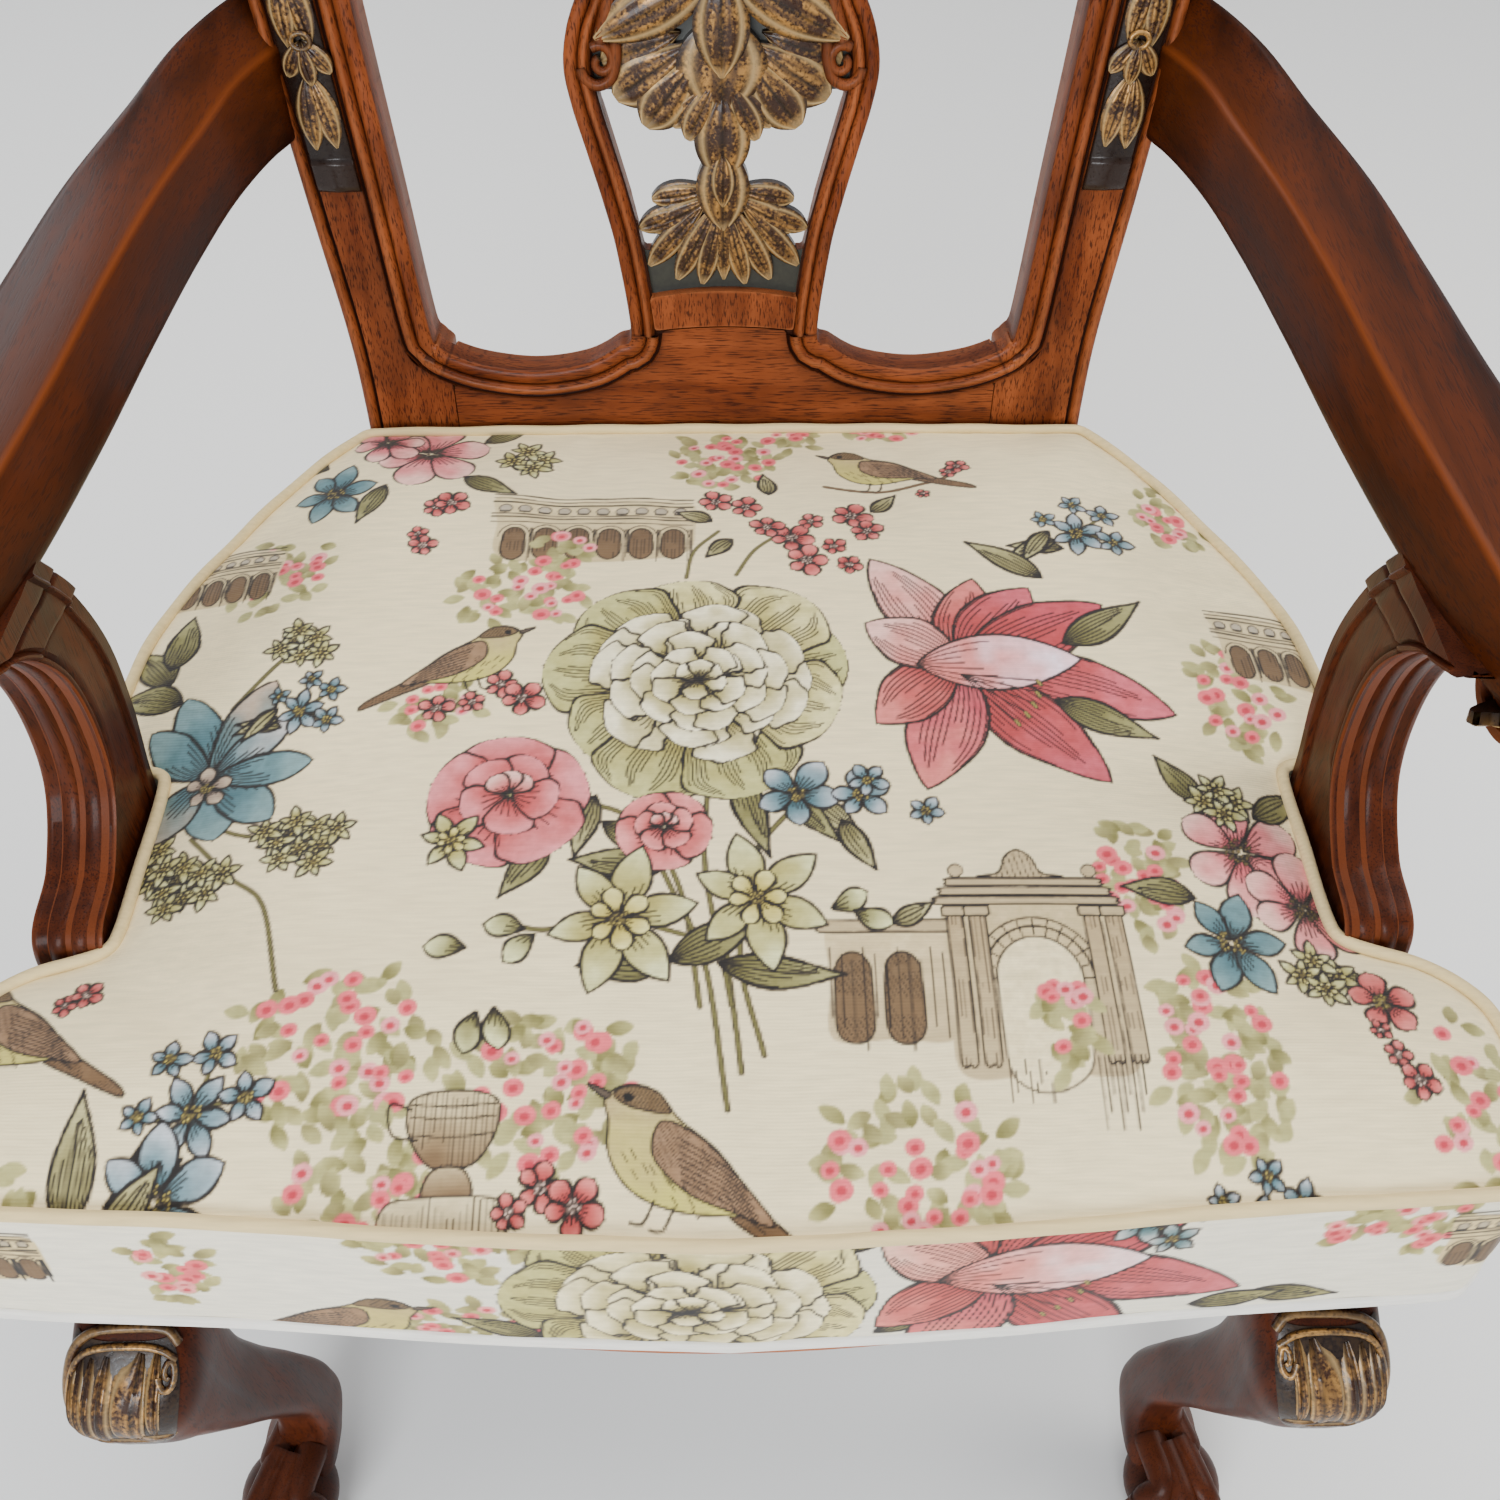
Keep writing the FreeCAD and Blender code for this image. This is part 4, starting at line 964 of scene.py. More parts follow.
before = points_of(seat_top)
pull_taut(seat_top, np.nonzero(edge_gap < 1.0)[0], 1.2)
move = points_of(seat_top) - before
length = np.linalg.norm(move, axis=1, keepdims=True)
after = before + move * np.minimum(1.0, MOST_PULL / np.maximum(length, 1e-9))
seat_top.data.vertices.foreach_set("co", after.astype(np.float32).ravel())
smoother = seat_top.modifiers.new("smooth", "SUBSURF")
smoother.levels = smoother.render_levels = 3
smoother.boundary_smooth = "ALL"
apply_modifiers(seat_top)
top_now = points_of(seat_top)
draw_x, draw_y = top_now[:, 0] * 1000, (top_now[:, 1] + DRAWING_SHIFT) * 1000
paint(seat_top, "print", read_cloth(top_print, draw_x, draw_y))
seat_top.data.materials.append(printed_cotton)
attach(seat_top, "root")
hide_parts("seat_foam", "seat_cover")

# ---------------------------------------------------------------- Boxing, piping and hem
# A strip of the same printed cotton runs right round the seat, stretched down over the rails
# and tacked under a narrow folded hem. A cord covered in plain cloth pipes the top seam.

COVER_BOTTOM, REAR_BOTTOM, BOXING_TOP = 384.0, 441.0, 479.5
FRONT_SWELL = 11.0
run = seat_outline(1.1)
run_step = np.linalg.norm(np.roll(run, -1, axis=0) - run, axis=1)
run_at = np.r_[0, np.cumsum(run_step)[:-1]]
front_at = run_at[int(np.argmin(np.abs(run[:, 0]) + (run[:, 1] > 0) * 999))]
run_at = front_at - run_at


def soften(path, times):
    """A closed run of points with its sharpest turns eased."""
    for _ in range(times):
        path = (np.roll(path, 1, axis=0) + 2 * path + np.roll(path, -1, axis=0)) / 4
    return path


def unit(arrows):
    return arrows / (np.linalg.norm(arrows, axis=-1, keepdims=True) + 1e-12)


def outward(path):
    """Unit normals pointing away from the middle of a closed run."""
    step = unit(np.roll(path, -2, axis=0) - np.roll(path, 2, axis=0))
    normal = np.stack([step[:, 1], -step[:, 0]], 1)
    area = (path[:, 0] * np.roll(path[:, 1], -1) - np.roll(path[:, 0], -1) * path[:, 1]).sum()
    return normal if area > 0 else -normal


def web(rows, cols, shut_round=True, shut_along=False):
    """Four-sided faces between rows of points, shut round each row and from last row to first."""
    faces = []
    for r in range(rows if shut_along else rows - 1):
        here, there = r * cols, (r + 1) % rows * cols
        for k in range(cols if shut_round else cols - 1):
            j = (k + 1) % cols
            faces.append([here + k, here + j, there + j, there + k])
    return faces


run_out = outward(soften(run, 4))
boxing_print = ClothPrint(-1250, 1250, 372, 484, BOXING_GROUND_PAINTED_DAYLIGHT, 23)


def print_boxing(cloth):
    """Where the strip was cut from the printed length: across the front, then round the sides."""
    for spot in ((-238, 440, 14, 30, 12, 31), (-116, 470, 34, 26, 20, 32), (-64, 476, 26, 20, 12, 33),
            (-110, 400, 44, 22, 20, 34),
            (300, 462, 20, 24, 12, 35), (268, 462, 16, 14, 7, 36), (-420, 430, 24, 34, 16, 37),
            (470, 440, 26, 34, 16, 38), (-600, 430, 26, 34, 16, 39), (650, 430, 26, 34, 16, 40)):
        berries(cloth, *spot)
    colonnade(cloth, 352, 446, 0.7)
    colonnade(cloth, -330, 448, 0.6)
    sparrow(cloth, -170, 398, 1.2, -1, 0.1)
    leaves(cloth, ((-82, 392, 2.6), (-60, 404, 0.7), (46, 470, 0.8), (232, 408, -0.3), (64, 396, 0.6),
            (206, 398, 0.1)), 34, 13)
    cluster(cloth, [(-44, 478), (-28, 484), (44, 476), (58, 486), (28, 484)], 11)
    peony(cloth, -16, 424, 80)
    lily(cloth, 112, 446, 92)
    blue_branch(cloth, 172, 478, -0.2, 1.0)
    iris(cloth, -392, 432, 0.9)
    for x, y, r in ((520, 430, 34), (560, 446, 26), (-520, 436, 34), (-556, 424, 26), (760, 430, 32),
            (-760, 430, 32)):
        wild_rose(cloth, x, y, r, 0.5)
    for x in (-680, -470, 440, 600, 700):
        blue_star(cloth, x, 428, 26, 0.1)
        leaf(cloth, x + 22, 436, 0.5, 30, 12)


print_boxing(boxing_print)
deepen(boxing_print, BOXING_GROUND_PAINTED_DAYLIGHT)

behind = (np.abs(run[:, 0]) < 228.6) & (run[:, 1] > 258)
in_notch = (run[:, 1] > -121) & (run[:, 1] < -17) & (np.abs(run[:, 0]) < 292)
short = np.clip(np.convolve((behind | in_notch).astype(float), np.ones(3) / 3, mode="same"), 0, 1) > 0.5
front_share = np.clip((-run[:, 1] - 150) / 90, 0, 1)
BOX_ROWS = 84


def swell_at(z):
    """How far the padding pushes the front of the strip out at a height."""
    return FRONT_SWELL * (BOXING_TOP - z) / (BOXING_TOP - COVER_BOTTOM) * front_share


strip_points, strip_print = [], []
for k in range(BOX_ROWS + 1):
    fall = k / BOX_ROWS
    lowest = np.where(short, REAR_BOTTOM, COVER_BOTTOM)
    z = BOXING_TOP - fall * (BOXING_TOP - lowest)
    belly = 1.8 * np.sin(np.pi * min(1.0, fall * 1.02)) * np.where(short, 0.2, 1.0)
    pull = 0.45 * np.sin(run_at / 11.0 + 2.5 * np.sin(run_at / 67.0)) * max(0.0, fall - 0.72) / 0.28
    out = swell_at(z) + belly + np.where(short, 0, pull)
    strip_points.append(in_chair(np.column_stack([run + run_out * out[:, None], z])))
    strip_print.append(np.stack([run_at, z], 1))
strip_points, strip_print = np.vstack(strip_points), np.vstack(strip_print)
n_run = len(run)
boxing = new_piece("boxing_strip", strip_points, web(BOX_ROWS + 1, n_run), printed_cotton)
paint(boxing, "print", read_cloth(boxing_print, strip_print[:, 0], strip_print[:, 1]))
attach(boxing, "root")
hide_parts("seat_cover")


def rings_round(path, tangent, across, radius, around):
    """Rings of points round a path."""
    side = unit(np.cross(tangent, across))
    up = np.cross(side, tangent)
    a = np.linspace(0, math.tau, around, endpoint=False)[None, :, None]
    return (path[:, None] + radius * (np.cos(a) * side[:, None] + np.sin(a) * up[:, None])).reshape(-1, 3)


def cord(path, radius, around=12):
    """A closed round cord along a loop of points in metres, with its faces."""
    tangent = unit(np.roll(path, -1, axis=0) - np.roll(path, 1, axis=0))
    return rings_round(path, tangent, [0, 0, 1.0], radius, around), web(len(path), around, shut_along=True)


PIPING_Z, PIPING_R = 480.6, 0.0031
pipe_run = seat_outline(2.0)
pipe_line = soften(pipe_run, 3)
pipe_line = pipe_line + outward(pipe_line) * 0.6
pipe_z = PIPING_Z + 0.35 * np.sin(np.arange(len(pipe_line)) * 0.21)
# Its tan is painted shade: the cream cloth as it looks in the shadow of the seam's fold.
piping_cloth = cotton("piping_cloth", rgb(222, 198, 142), 2600.0)
piping = new_piece("piping_cord", *cord(in_chair(np.column_stack([pipe_line, pipe_z])), PIPING_R),
        piping_cloth)
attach(piping, "root")
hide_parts("seat_welt")

hem_cloth = cotton("hem_cloth", rgb(238, 234, 224), 2600.0)
hem_points = []
hem_profile = ((0.2, 392.4), (1.3, 392.2), (1.6, 391.0), (1.6, 387.6), (1.5, 384.6), (0.9, 383.4),
        (-0.6, 383.2), (-1.6, 384.4))
for out, z in hem_profile:
    hem_line = run + run_out * (swell_at(z) + out)[:, None]
    hem_points.append(in_chair(np.column_stack([hem_line, np.full(n_run, z)])))
hem_faces = [face for face in web(len(hem_profile), n_run)
        if not (short[face[0] % n_run] or short[face[1] % n_run])]
hem = new_piece("hem_tape", np.vstack(hem_points), hem_faces, hem_cloth)
loose = bmesh.new()
loose.from_mesh(hem.data)
bmesh.ops.delete(loose, geom=[v for v in loose.verts if not v.link_faces], context="VERTS")
loose.to_mesh(hem.data)
loose.free()
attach(hem, "root")
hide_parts("seat_gimp")

# ---------------------------------------------------------------- Back posts, lower rail, splat and crest
# Solid show wood in a red-brown polish, sawn from board, moulded with a double bead that runs
# round each opening without a break, and joined with mortises and tenons.

RAKE = math.radians(8.6)
BACK_FOOT_Y, BACK_FOOT_Z = 268.0, 480.0


def on_back(x, v, h):
    """Metres from a point of the leaning face: across, up it, and out towards the sitter."""
    y = BACK_FOOT_Y + v * math.sin(RAKE) - h * math.cos(RAKE)
    z = BACK_FOOT_Z + v * math.cos(RAKE) + h * math.sin(RAKE)
    return np.stack(drawn(x, y, z), axis=-1)


def grain_group():
    """Straight-grained wood: long soft bands, short dark pores, painted shade in hollows and grooves, and
    edges lightened by rub wear with painted highlight.
    """
    w, give, take = shared_effect(
        "wood_grain", {"Stretch": ("Vector", (60, 60, 4)), "Deep": ("Color", rgb(30, 14, 10)),
            "Body": ("Color", rgb(84, 42, 22)), "Warm": ("Color", rgb(122, 66, 33)),
            "Rubbed": ("Color", rgb(172, 102, 58))},
        {"Color": "Color", "Roughness": "Float", "Height": "Float"})
    coords = w.node("ShaderNodeTexCoord").outputs["Object"]
    scaled = w.node("ShaderNodeVectorMath", operation="MULTIPLY")
    w.put(scaled.inputs[0], coords)
    w.put(scaled.inputs[1], give["Stretch"])
    bands = w.noise(scaled, 0.9, Detail=6.0, Distortion=0.6)
    pores = w.noise(scaled, 16.0, Detail=3.0)
    ramp = w.node("ShaderNodeValToRGB")
    ramp.color_ramp.elements[0].position = 0.32
    ramp.color_ramp.elements[1].position = 0.68
    w.put(ramp.inputs[0], bands)
    # The tone's first share is mostly painted shade in grooves, recesses and undersides, with some dark
    # joint lines; its second is rub wear with painted highlight.
    tone = w.node("ShaderNodeAttribute", attribute_name="tone").outputs["Color"]
    dark, wear_and_highlight = w.node("ShaderNodeSeparateColor", Color=tone).outputs[:2]
    edges = w.node("ShaderNodeNewGeometry").outputs["Pointiness"]
    colour = w.mix(give["Body"], give["Warm"], ramp.outputs[0])
    # Darkest colour: pores and blotches of the wood, then painted shade from the dark share and in concave
    # hollows. Palest colour: rub wear with painted highlight on convex edges and from the rub share.
    for stain, share in (
            ("Deep", w.remap(pores, 0.36, 0.48, 0.75, 0.0)),
            ("Deep", w.remap(w.noise(coords, 26.0), 0.4, 0.75, 0.0, 0.45)), ("Deep", dark),
            ("Deep", w.remap(edges, 0.47, 0.40, 0.0, 0.8)),
            ("Rubbed", w.remap(edges, 0.53, 0.60, 0.0, 0.55)), ("Rubbed", wear_and_highlight)):
        colour = w.mix(colour, give[stain], share)
    w.put(take["Color"], colour)
    w.put(take["Roughness"], w.remap(bands, 0.3, 0.7, 0.34, 0.48))
    w.put(take["Height"], w.remap(pores, 0.36, 0.5, 0.0, 1.0))
    return w.tree


grain_tree = grain_group()


def polished_wood(name, stretch, body, warm, wear_and_highlight):
    """Red-brown polished show wood with its grain along the least stretched direction."""
    s = Shader(name)
    grain = s.group(grain_tree, Stretch=stretch, Body=body, Warm=warm, Rubbed=wear_and_highlight)
    bump = s.node("ShaderNodeBump", Height=grain.outputs["Height"], Strength=0.12, Distance=0.0003)
    s.set(Base_Color=grain.outputs["Color"], Roughness=grain.outputs["Roughness"], Normal=bump,
            Coat_Weight=0.05,
          Coat_Roughness=0.12, Specular_IOR_Level=0.08)
    return s.material


def gilded_wood(name):
    """Dark-stained carving with antique gold, applied by rubbing, in streaks over its high parts, painted
    shade in its hollows, and pale worn gold with painted highlight on its edges.
    """
    s = Shader(name)
    tone = s.node("ShaderNodeAttribute", attribute_name="tone").outputs["Color"]
    dark, proud, gilt_share = s.node("ShaderNodeSeparateColor", Color=tone).outputs
    coords = s.node("ShaderNodeTexCoord").outputs["Object"]
    streak = s.noise(coords, 520.0, Detail=4.0)
    both = s.combine("ADD", streak, s.noise(coords, 70.0, Detail=3.0))
    gold = s.combine("MULTIPLY", s.remap(both, 0.92, 1.18, 0.0, 1.0), gilt_share)
    colour = s.mix(rgb(50, 30, 19), rgb(180, 134, 74), gold)
    # Pale worn gold on the raised parts and edges: rub wear with painted highlight.
    colour = s.mix(colour, rgb(204, 172, 118), proud)
    # The dark share: painted shade in grooves, at leaf edges and roots and under the leaves, and the dark
    # grounds behind the husks and the knee lobes.
    colour = s.mix(colour, rgb(20, 14, 12), dark)
    bump = s.node("ShaderNodeBump", Height=both, Strength=0.35, Distance=0.0004)
    s.set(Base_Color=colour, Roughness=s.remap(streak, 0.3, 0.7, 0.22, 0.48), Normal=bump,
          Metallic=s.combine("MULTIPLY", gold, 0.7), Coat_Weight=0.14, Coat_Roughness=0.12,
          Specular_IOR_Level=0.22)
    return s.material


def plain_finish(name, dark, light, scale, roughness, metallic=0.0, bump=0.0, detail=4.0):
    """A simple finish: two close colours in fine noise, with a matching grain."""
    s = Shader(name)
    noise = s.noise(s.node("ShaderNodeTexCoord").outputs["Object"], scale, Detail=detail)
    s.set(Base_Color=s.mix(dark, light, noise), Roughness=roughness, Metallic=metallic)
    if bump:
        s.set(Normal=s.node("ShaderNodeBump", Height=noise, Strength=bump, Distance=0.0005))
    return s.material


BACK_POLISH = rgb(98, 45, 21), rgb(142, 74, 38), rgb(180, 108, 64)
upright_wood = polished_wood("polished_upright", (70, 70, 5), *BACK_POLISH)
level_wood = polished_wood("polished_level", (5, 70, 70), *BACK_POLISH)
along_wood = polished_wood("polished_lengthways", (70, 5, 70), rgb(38, 14, 3), rgb(72, 30, 8),
        rgb(118, 58, 25))
# A darker copy of the same polish: painted shade for the arm supports and the front legs.
shaded_wood = polished_wood("polished_shaded", (70, 70, 5), rgb(54, 21, 8), rgb(84, 38, 17),
        rgb(114, 58, 30))
gilt = gilded_wood("antique_gilt")
ebonised = plain_finish("ebonised_ground", rgb(14, 15, 12), rgb(44, 46, 36), 300.0, 0.42, detail=2.0)

POST_INNER = [(66, 181), (153, 188), (254, 196.5), (350, 203), (450, 207)]
POST_OUTER = [(-40, 229), (15, 229), (66, 231.5), (153, 241), (254, 250.5), (350, 257), (450, 262),
        (478, 264)]
SPLAT_EDGE = [(62, 57.5), (113, 63), (144, 69.5), (173, 77), (198, 83.5), (219, 86.5), (240, 83), (262, 74),
        (295, 65), (325, 62), (360, 67), (405, 82), (440, 93), (462, 98)]
DISH = [(66, 54), (86, 43), (118, 38), (150, 42), (171, 50), (177, 56)]
CREST_UNDER = [(98, 462), (108, 468), (150, 482), (196, 484), (206, 478)]
CREST_TOP = [(264, 480), (272, 488), (284, 506), (278, 524), (252, 532), (200, 516), (130, 508), (60, 532),
        (0, 540)]
JOINT_X = 171.0

opening = smooth_run([(w, v) for v, w in SPLAT_EDGE] + CREST_UNDER[1:] + [(x, v) for v,
        x in POST_INNER[::-1]]
        + DISH[::-1], 1.5, closed=True)
right_edge = smooth_run([(x, v) for v, x in POST_OUTER] + CREST_TOP, 1.5)
back_edge = np.vstack([right_edge, right_edge[::-1][1:] * np.array([-1.0, 1.0])])


def edge_at(v, edge):
    """The half width of a drawn edge at a height."""
    return np.interp(v, *zip(*edge))


def seam_v(x):
    """The gently arched joint where the splat stands on the lower rail."""
    return 62.0 + 5.0 * (1 - (np.minimum(np.abs(x), 57.0) / 57.0) ** 2)


class Pile:
    """Loose surfaces gathered into one carved piece, with their dark shares (painted shade, and also dark
    joints and black grounds), their shares of rub wear with painted highlight, and their gilt shares.
    """

    def __init__(self):
        self.points, self.faces, self.tones, self.count = [], [], [], 0

    def add(self, points, faces, tone):
        points = np.asarray(points, float)
        self.points.append(points)
        self.faces.extend([[int(i) + self.count for i in face] for face in faces])
        self.tones.append(np.broadcast_to(np.asarray(tone, float), (len(points), 3)))
        self.count += len(points)

    def mirror(self):
        points = [p * np.array([-1.0, 1.0, 1.0]) for p in self.points]
        faces = [[i + self.count for i in face[::-1]] for face in self.faces]
        self.points += points
        self.faces += faces
        self.tones += list(self.tones)
        self.count *= 2

    def build(self, name, material, sharp=42.0, flipped=False):
        points = np.vstack(self.points)
        faces = self.faces
        if flipped:
            points = points * np.array([-1.0, 1.0, 1.0])
            faces = [face[::-1] for face in faces]
        piece = new_piece(name, points, faces, material)
        if sharp:
            piece.data.set_sharp_from_angle(angle=math.radians(sharp))
        paint(piece, "tone", np.vstack(self.tones))
        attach(piece, "root")
        return piece


def sawn_board(pile, xs, vs, level, height, thick):
    """A board on the leaning plane: moulded front, sawn edges and a flat back."""
    flat_pts, faces = clipped_grid(xs, vs, level)
    x, v = flat_pts[:, 0], flat_pts[:, 1]
    h, tone = height(x, v)
    front = on_back(x, v, h)
    n = len(flat_pts)
    used = {}
    for face in faces:
        for a, b in zip(face, face[1:] + face[:1]):
            used[(a, b)] = used.get((a, b), 0) + 1
    rim = [(a, b) for a, b in used if (b, a) not in used]
    rim_points = sorted({i for pair in rim for i in pair})
    index = {p: n + k for k, p in enumerate(rim_points)}
    ids = np.array(rim_points)
    mid = on_back(x[ids], v[ids], np.full(len(ids), -thick + 1.5))
    rear = on_back(x, v, np.full(n, -float(thick)))
    walls = [[b, a, index[a], index[b]] for a, b in rim]
    base = n + len(ids)
    backs = [[i + base for i in face[::-1]] for face in faces]
    closing = [[index[b], index[a], a + base, b + base] for a, b in rim]
    # The sawn edges take 40% of the front's painted shade; the back takes none.
    rim_shade = tone[ids] * 0.4
    pile.add(np.vstack([front, mid, rear]), faces + walls + closing + backs,
            np.vstack([tone, rim_shade, np.zeros((n, 3))]))


def outline_normals(path, closed):
    """Unit normals to the right of the way along a run of points."""
    step = np.roll(path, -1, axis=0) - np.roll(path, 1, axis=0) if closed else np.gradient(path, axis=0)
    step = unit(step)
    return np.stack([step[:, 1], -step[:, 0]], 1)


INNER_PROFILE = [(0.0, -17.0), (0.0, -3.9), (0.5, -2.8), (1.6, -2.0), (3.2, -1.5), (5.2, -1.3),
        (7.0, -1.7), (8.4, -2.5), (9.2, -3.6),
        (9.7, -4.0), (10.1, -3.2), (10.7, -1.8), (11.6, -0.9), (12.8, -0.35), (14.0, -0.3), (15.2, -0.7),
        (16.2, -1.6), (16.8, -2.8), (17.2, -4.4), (18.0, -5.0), (18.8, -4.6), (19.3, -3.4), (19.6, -2.95)]
SPLAT_PROFILE = [(0.8 * d, h) for d, h in INNER_PROFILE[:-5]] + [(14.2, -3.6), (14.8, -4.6), (15.5, -5.2),
        (15.5, -10.6)]
OUTER_PROFILE = [(0.0, -24.0), (0.0, -4.2), (0.5, -2.6), (1.4, -1.4), (2.8, -0.6), (4.2, -0.3),
        (5.6, -0.8), (6.6, -1.9), (7.1, -3.2),
        (7.5, -4.8), (8.3, -5.2), (9.0, -4.4), (9.5, -2.95)]
GROUND = -2.9


def profile_tone(profile):
    """Painted shade where the profile runs low; a light share of rub wear with painted highlight where it
    stands high.
    """
    h = np.array([p[1] for p in profile])
    dark = np.where(h < -8, 0.1, np.clip((-3.0 - h) / 1.6, 0, 1) * 0.92)
    return np.stack([dark, np.clip((h + 0.75) / 0.4, 0, 1) * 0.20, 0 * h], 1)


def moulding(pile, path, normals, profile, mirrored=False):
    """Sweeps a moulding along a run of points on the face, its profile measured in from the edge."""
    d, h = np.array(profile).T
    x = path[:, :1] + normals[:, :1] * d
    v = path[:, 1:] + normals[:, 1:] * d
    if mirrored:
        x = -x
    n, m = x.shape
    faces = web(n, m, shut_round=False)
    if not mirrored:
        faces = [face[::-1] for face in faces]
    tone = np.tile(profile_tone(profile), (n, 1)).reshape(n, m, 3)
    tone[[0, -1], :, 0] = np.maximum(tone[[0, -1], :, 0], 0.75)
    points = on_back(x.ravel(), v.ravel(), np.tile(h, n))
    pile.add(points, faces, tone.reshape(-1, 3))


def levels(x0, x1, v0, v1, step):
    """A grid on the face with its distances inside the opening's edge and the outside edge."""
    xs, vs = np.arange(x0, x1 + step, step), np.arange(v0, v1 + step, step)
    fx, fv = np.meshgrid(xs, vs)
    pts = np.stack([np.abs(fx).ravel(), fv.ravel()], 1)
    d_open, in_open = edge_distance(pts, opening)
    d_out, in_out = edge_distance(pts, back_edge)
    d_open = np.where(in_open, -d_open, d_open).reshape(fx.shape)
    d_out = np.where(in_out, d_out, -d_out).reshape(fx.shape)
    return xs, vs, fx, fv, d_open, d_out


def plate(pile, xs, vs, level, height, tone=(0, 0, 0)):
    flat_pts, faces = clipped_grid(xs, vs, level)
    pile.add(on_back(flat_pts[:, 0], flat_pts[:, 1], np.full(len(flat_pts), float(height))), faces, tone)


def even_face(height, dark):
    """The rule for a flat front of one height and one share of painted shade."""
    return lambda x, v: (np.full(len(x), height), np.tile([dark, 0.0, 0.0], (len(x), 1)))


def board(pile, x0, x1, v0, v1, seams, thick):
    """A moulded board: its sawn core and the flat ground between its mouldings."""
    xs, vs, fx, fv, d_open, d_out = levels(x0, x1, v0, v1, 3.0)
    core = np.minimum.reduce([d_open - 0.4, d_out - 0.4, seams(fx, fv)])
    # The core's face lies deep in the grooves and is darkened as painted shade.
    sawn_board(pile, xs, vs, core, even_face(-6.2, 0.85), thick)
    xs, vs, fx, fv, d_open, d_out = levels(x0, x1, v0, v1, 2.6)
    face_level = np.minimum.reduce([d_open - 19.3, d_out - 9.2, seams(fx, fv) - 0.15])
    flat_pts, faces = clipped_grid(xs, vs, face_level)
    near, _ = edge_distance(np.abs(flat_pts) * [1, 0] + flat_pts * [0, 1], opening)
    shade = np.stack([0.55 * np.exp(-((near - 19) / 3.0)), 0 * near, 0 * near], 1)
    pile.add(on_back(flat_pts[:, 0], flat_pts[:, 1], np.full(len(flat_pts), GROUND)), faces, shade)


crest_at = int(np.argmax(opening[:, 1] > 462))
post_at = crest_at + int(np.argmax((opening[crest_at:, 0] > 200) & (opening[crest_at:, 1] < 478.5)))
rail_at = post_at + int(np.argmax(opening[post_at:, 0] < JOINT_X))
around = np.vstack([opening, opening[:1]])
away = outline_normals(opening, True)
if (away * (opening - opening.mean(0))).sum() < 0:
    away = -away
away = np.vstack([away, away[:1]])
edge_in = outline_normals(right_edge, False)
if (edge_in * (np.array([150.0, 300.0]) - right_edge)).sum() < 0:
    edge_in = -edge_in
crown_at = int(np.argmax(right_edge[:, 1] > 478.5))

# Posts, with the rear legs in the same piece of wood below the seat
post_pile = Pile()
board(post_pile, JOINT_X - 2, 268, -39, 480, lambda x, v: np.minimum(x - JOINT_X - 0.15, 477.8 - v), 32)
moulding(post_pile, around[post_at:rail_at + 1], away[post_at:rail_at + 1], INNER_PROFILE)
moulding(post_pile, right_edge[:crown_at + 1], edge_in[:crown_at + 1], OUTER_PROFILE)

REAR_LEG = [(0, 186, 222, 326, 358), (120, 186, 223, 302, 335), (250, 185, 226, 278, 313),
        (360, 185, 229, 262, 300),
        (446, 185, 229, 262, 294)]


def even(stations, count):
    """Smoothly interpolates rows of numbers whose first one runs from end to end."""
    rows = np.array(stations, float)
    flip = rows[0, 0] > rows[-1, 0]
    if flip:
        rows = rows[::-1]
    at = np.linspace(rows[0, 0], rows[-1, 0], count)
    out = [at]
    slopes = np.gradient(rows[:, 1:], rows[:, 0], axis=0)
    k = np.clip(np.searchsorted(rows[:, 0], at) - 1, 0, len(rows) - 2)
    w = rows[k + 1, 0] - rows[k, 0]
    t = (at - rows[k, 0]) / w
    for c in range(1, rows.shape[1]):
        a, b = rows[k, c], rows[k + 1, c]
        ma, mb = slopes[k, c - 1] * w, slopes[k + 1, c - 1] * w
        out.append((2 * t**3 - 3 * t**2 + 1) * a + (t**3 - 2 * t**2 + t) * ma
                + (-2 * t**3 + 3 * t**2) * b + (t**3 - t**2) * mb)
    made = np.stack(out, 1)
    return made[::-1] if flip else made


def ring_faces(rings, around):
    """A tube's faces with both ends closed."""
    ends = [list(range(around))[::-1], list(range((rings - 1) * around, rings * around))]
    return web(rings, around) + ends


def soft_box(x0, x1, y0, y1, z, corner, per=5):
    """Points round a level rectangle with rounded corners, anticlockwise from above."""
    pts = []
    for cx, cy, start in ((x1 - corner, y1 - corner, 0), (x0 + corner, y1 - corner, 90),
            (x0 + corner, y0 + corner, 180),
            (x1 - corner, y0 + corner, 270)):
        for k in range(per):
            a = math.radians(start + 90 * k / (per - 1))
            pts.append((cx + corner * math.cos(a), cy + corner * math.sin(a), z))
    return pts


leg_rings = [soft_box(xi, xo, yf, yb, z, 3.0) for z, xi, xo, yf, yb in even(REAR_LEG, 60)]
post_pile.add(in_chair(leg_rings), ring_faces(*np.shape(leg_rings)[:2]), (0, 0, 0))
SIDES = (("left", False), ("right", True))
for side, flipped in SIDES:
    post = post_pile.build(side + "_post_moulded", upright_wood, flipped=flipped)
    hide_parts(side + "_back_post")

# Lower rail
rail_pile = Pile()
board(rail_pile, -JOINT_X, JOINT_X, -36, 75,
      lambda x, v: np.minimum.reduce([JOINT_X - 0.15 - np.abs(x), seam_v(x) - 0.25 - v, v + 34.0]), 24)
for flip in (False, True):
    moulding(rail_pile, around[rail_at:], away[rail_at:], INNER_PROFILE, flip)
rail = rail_pile.build("lower_rail_moulded", level_wood)
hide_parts("lower_back_rail")

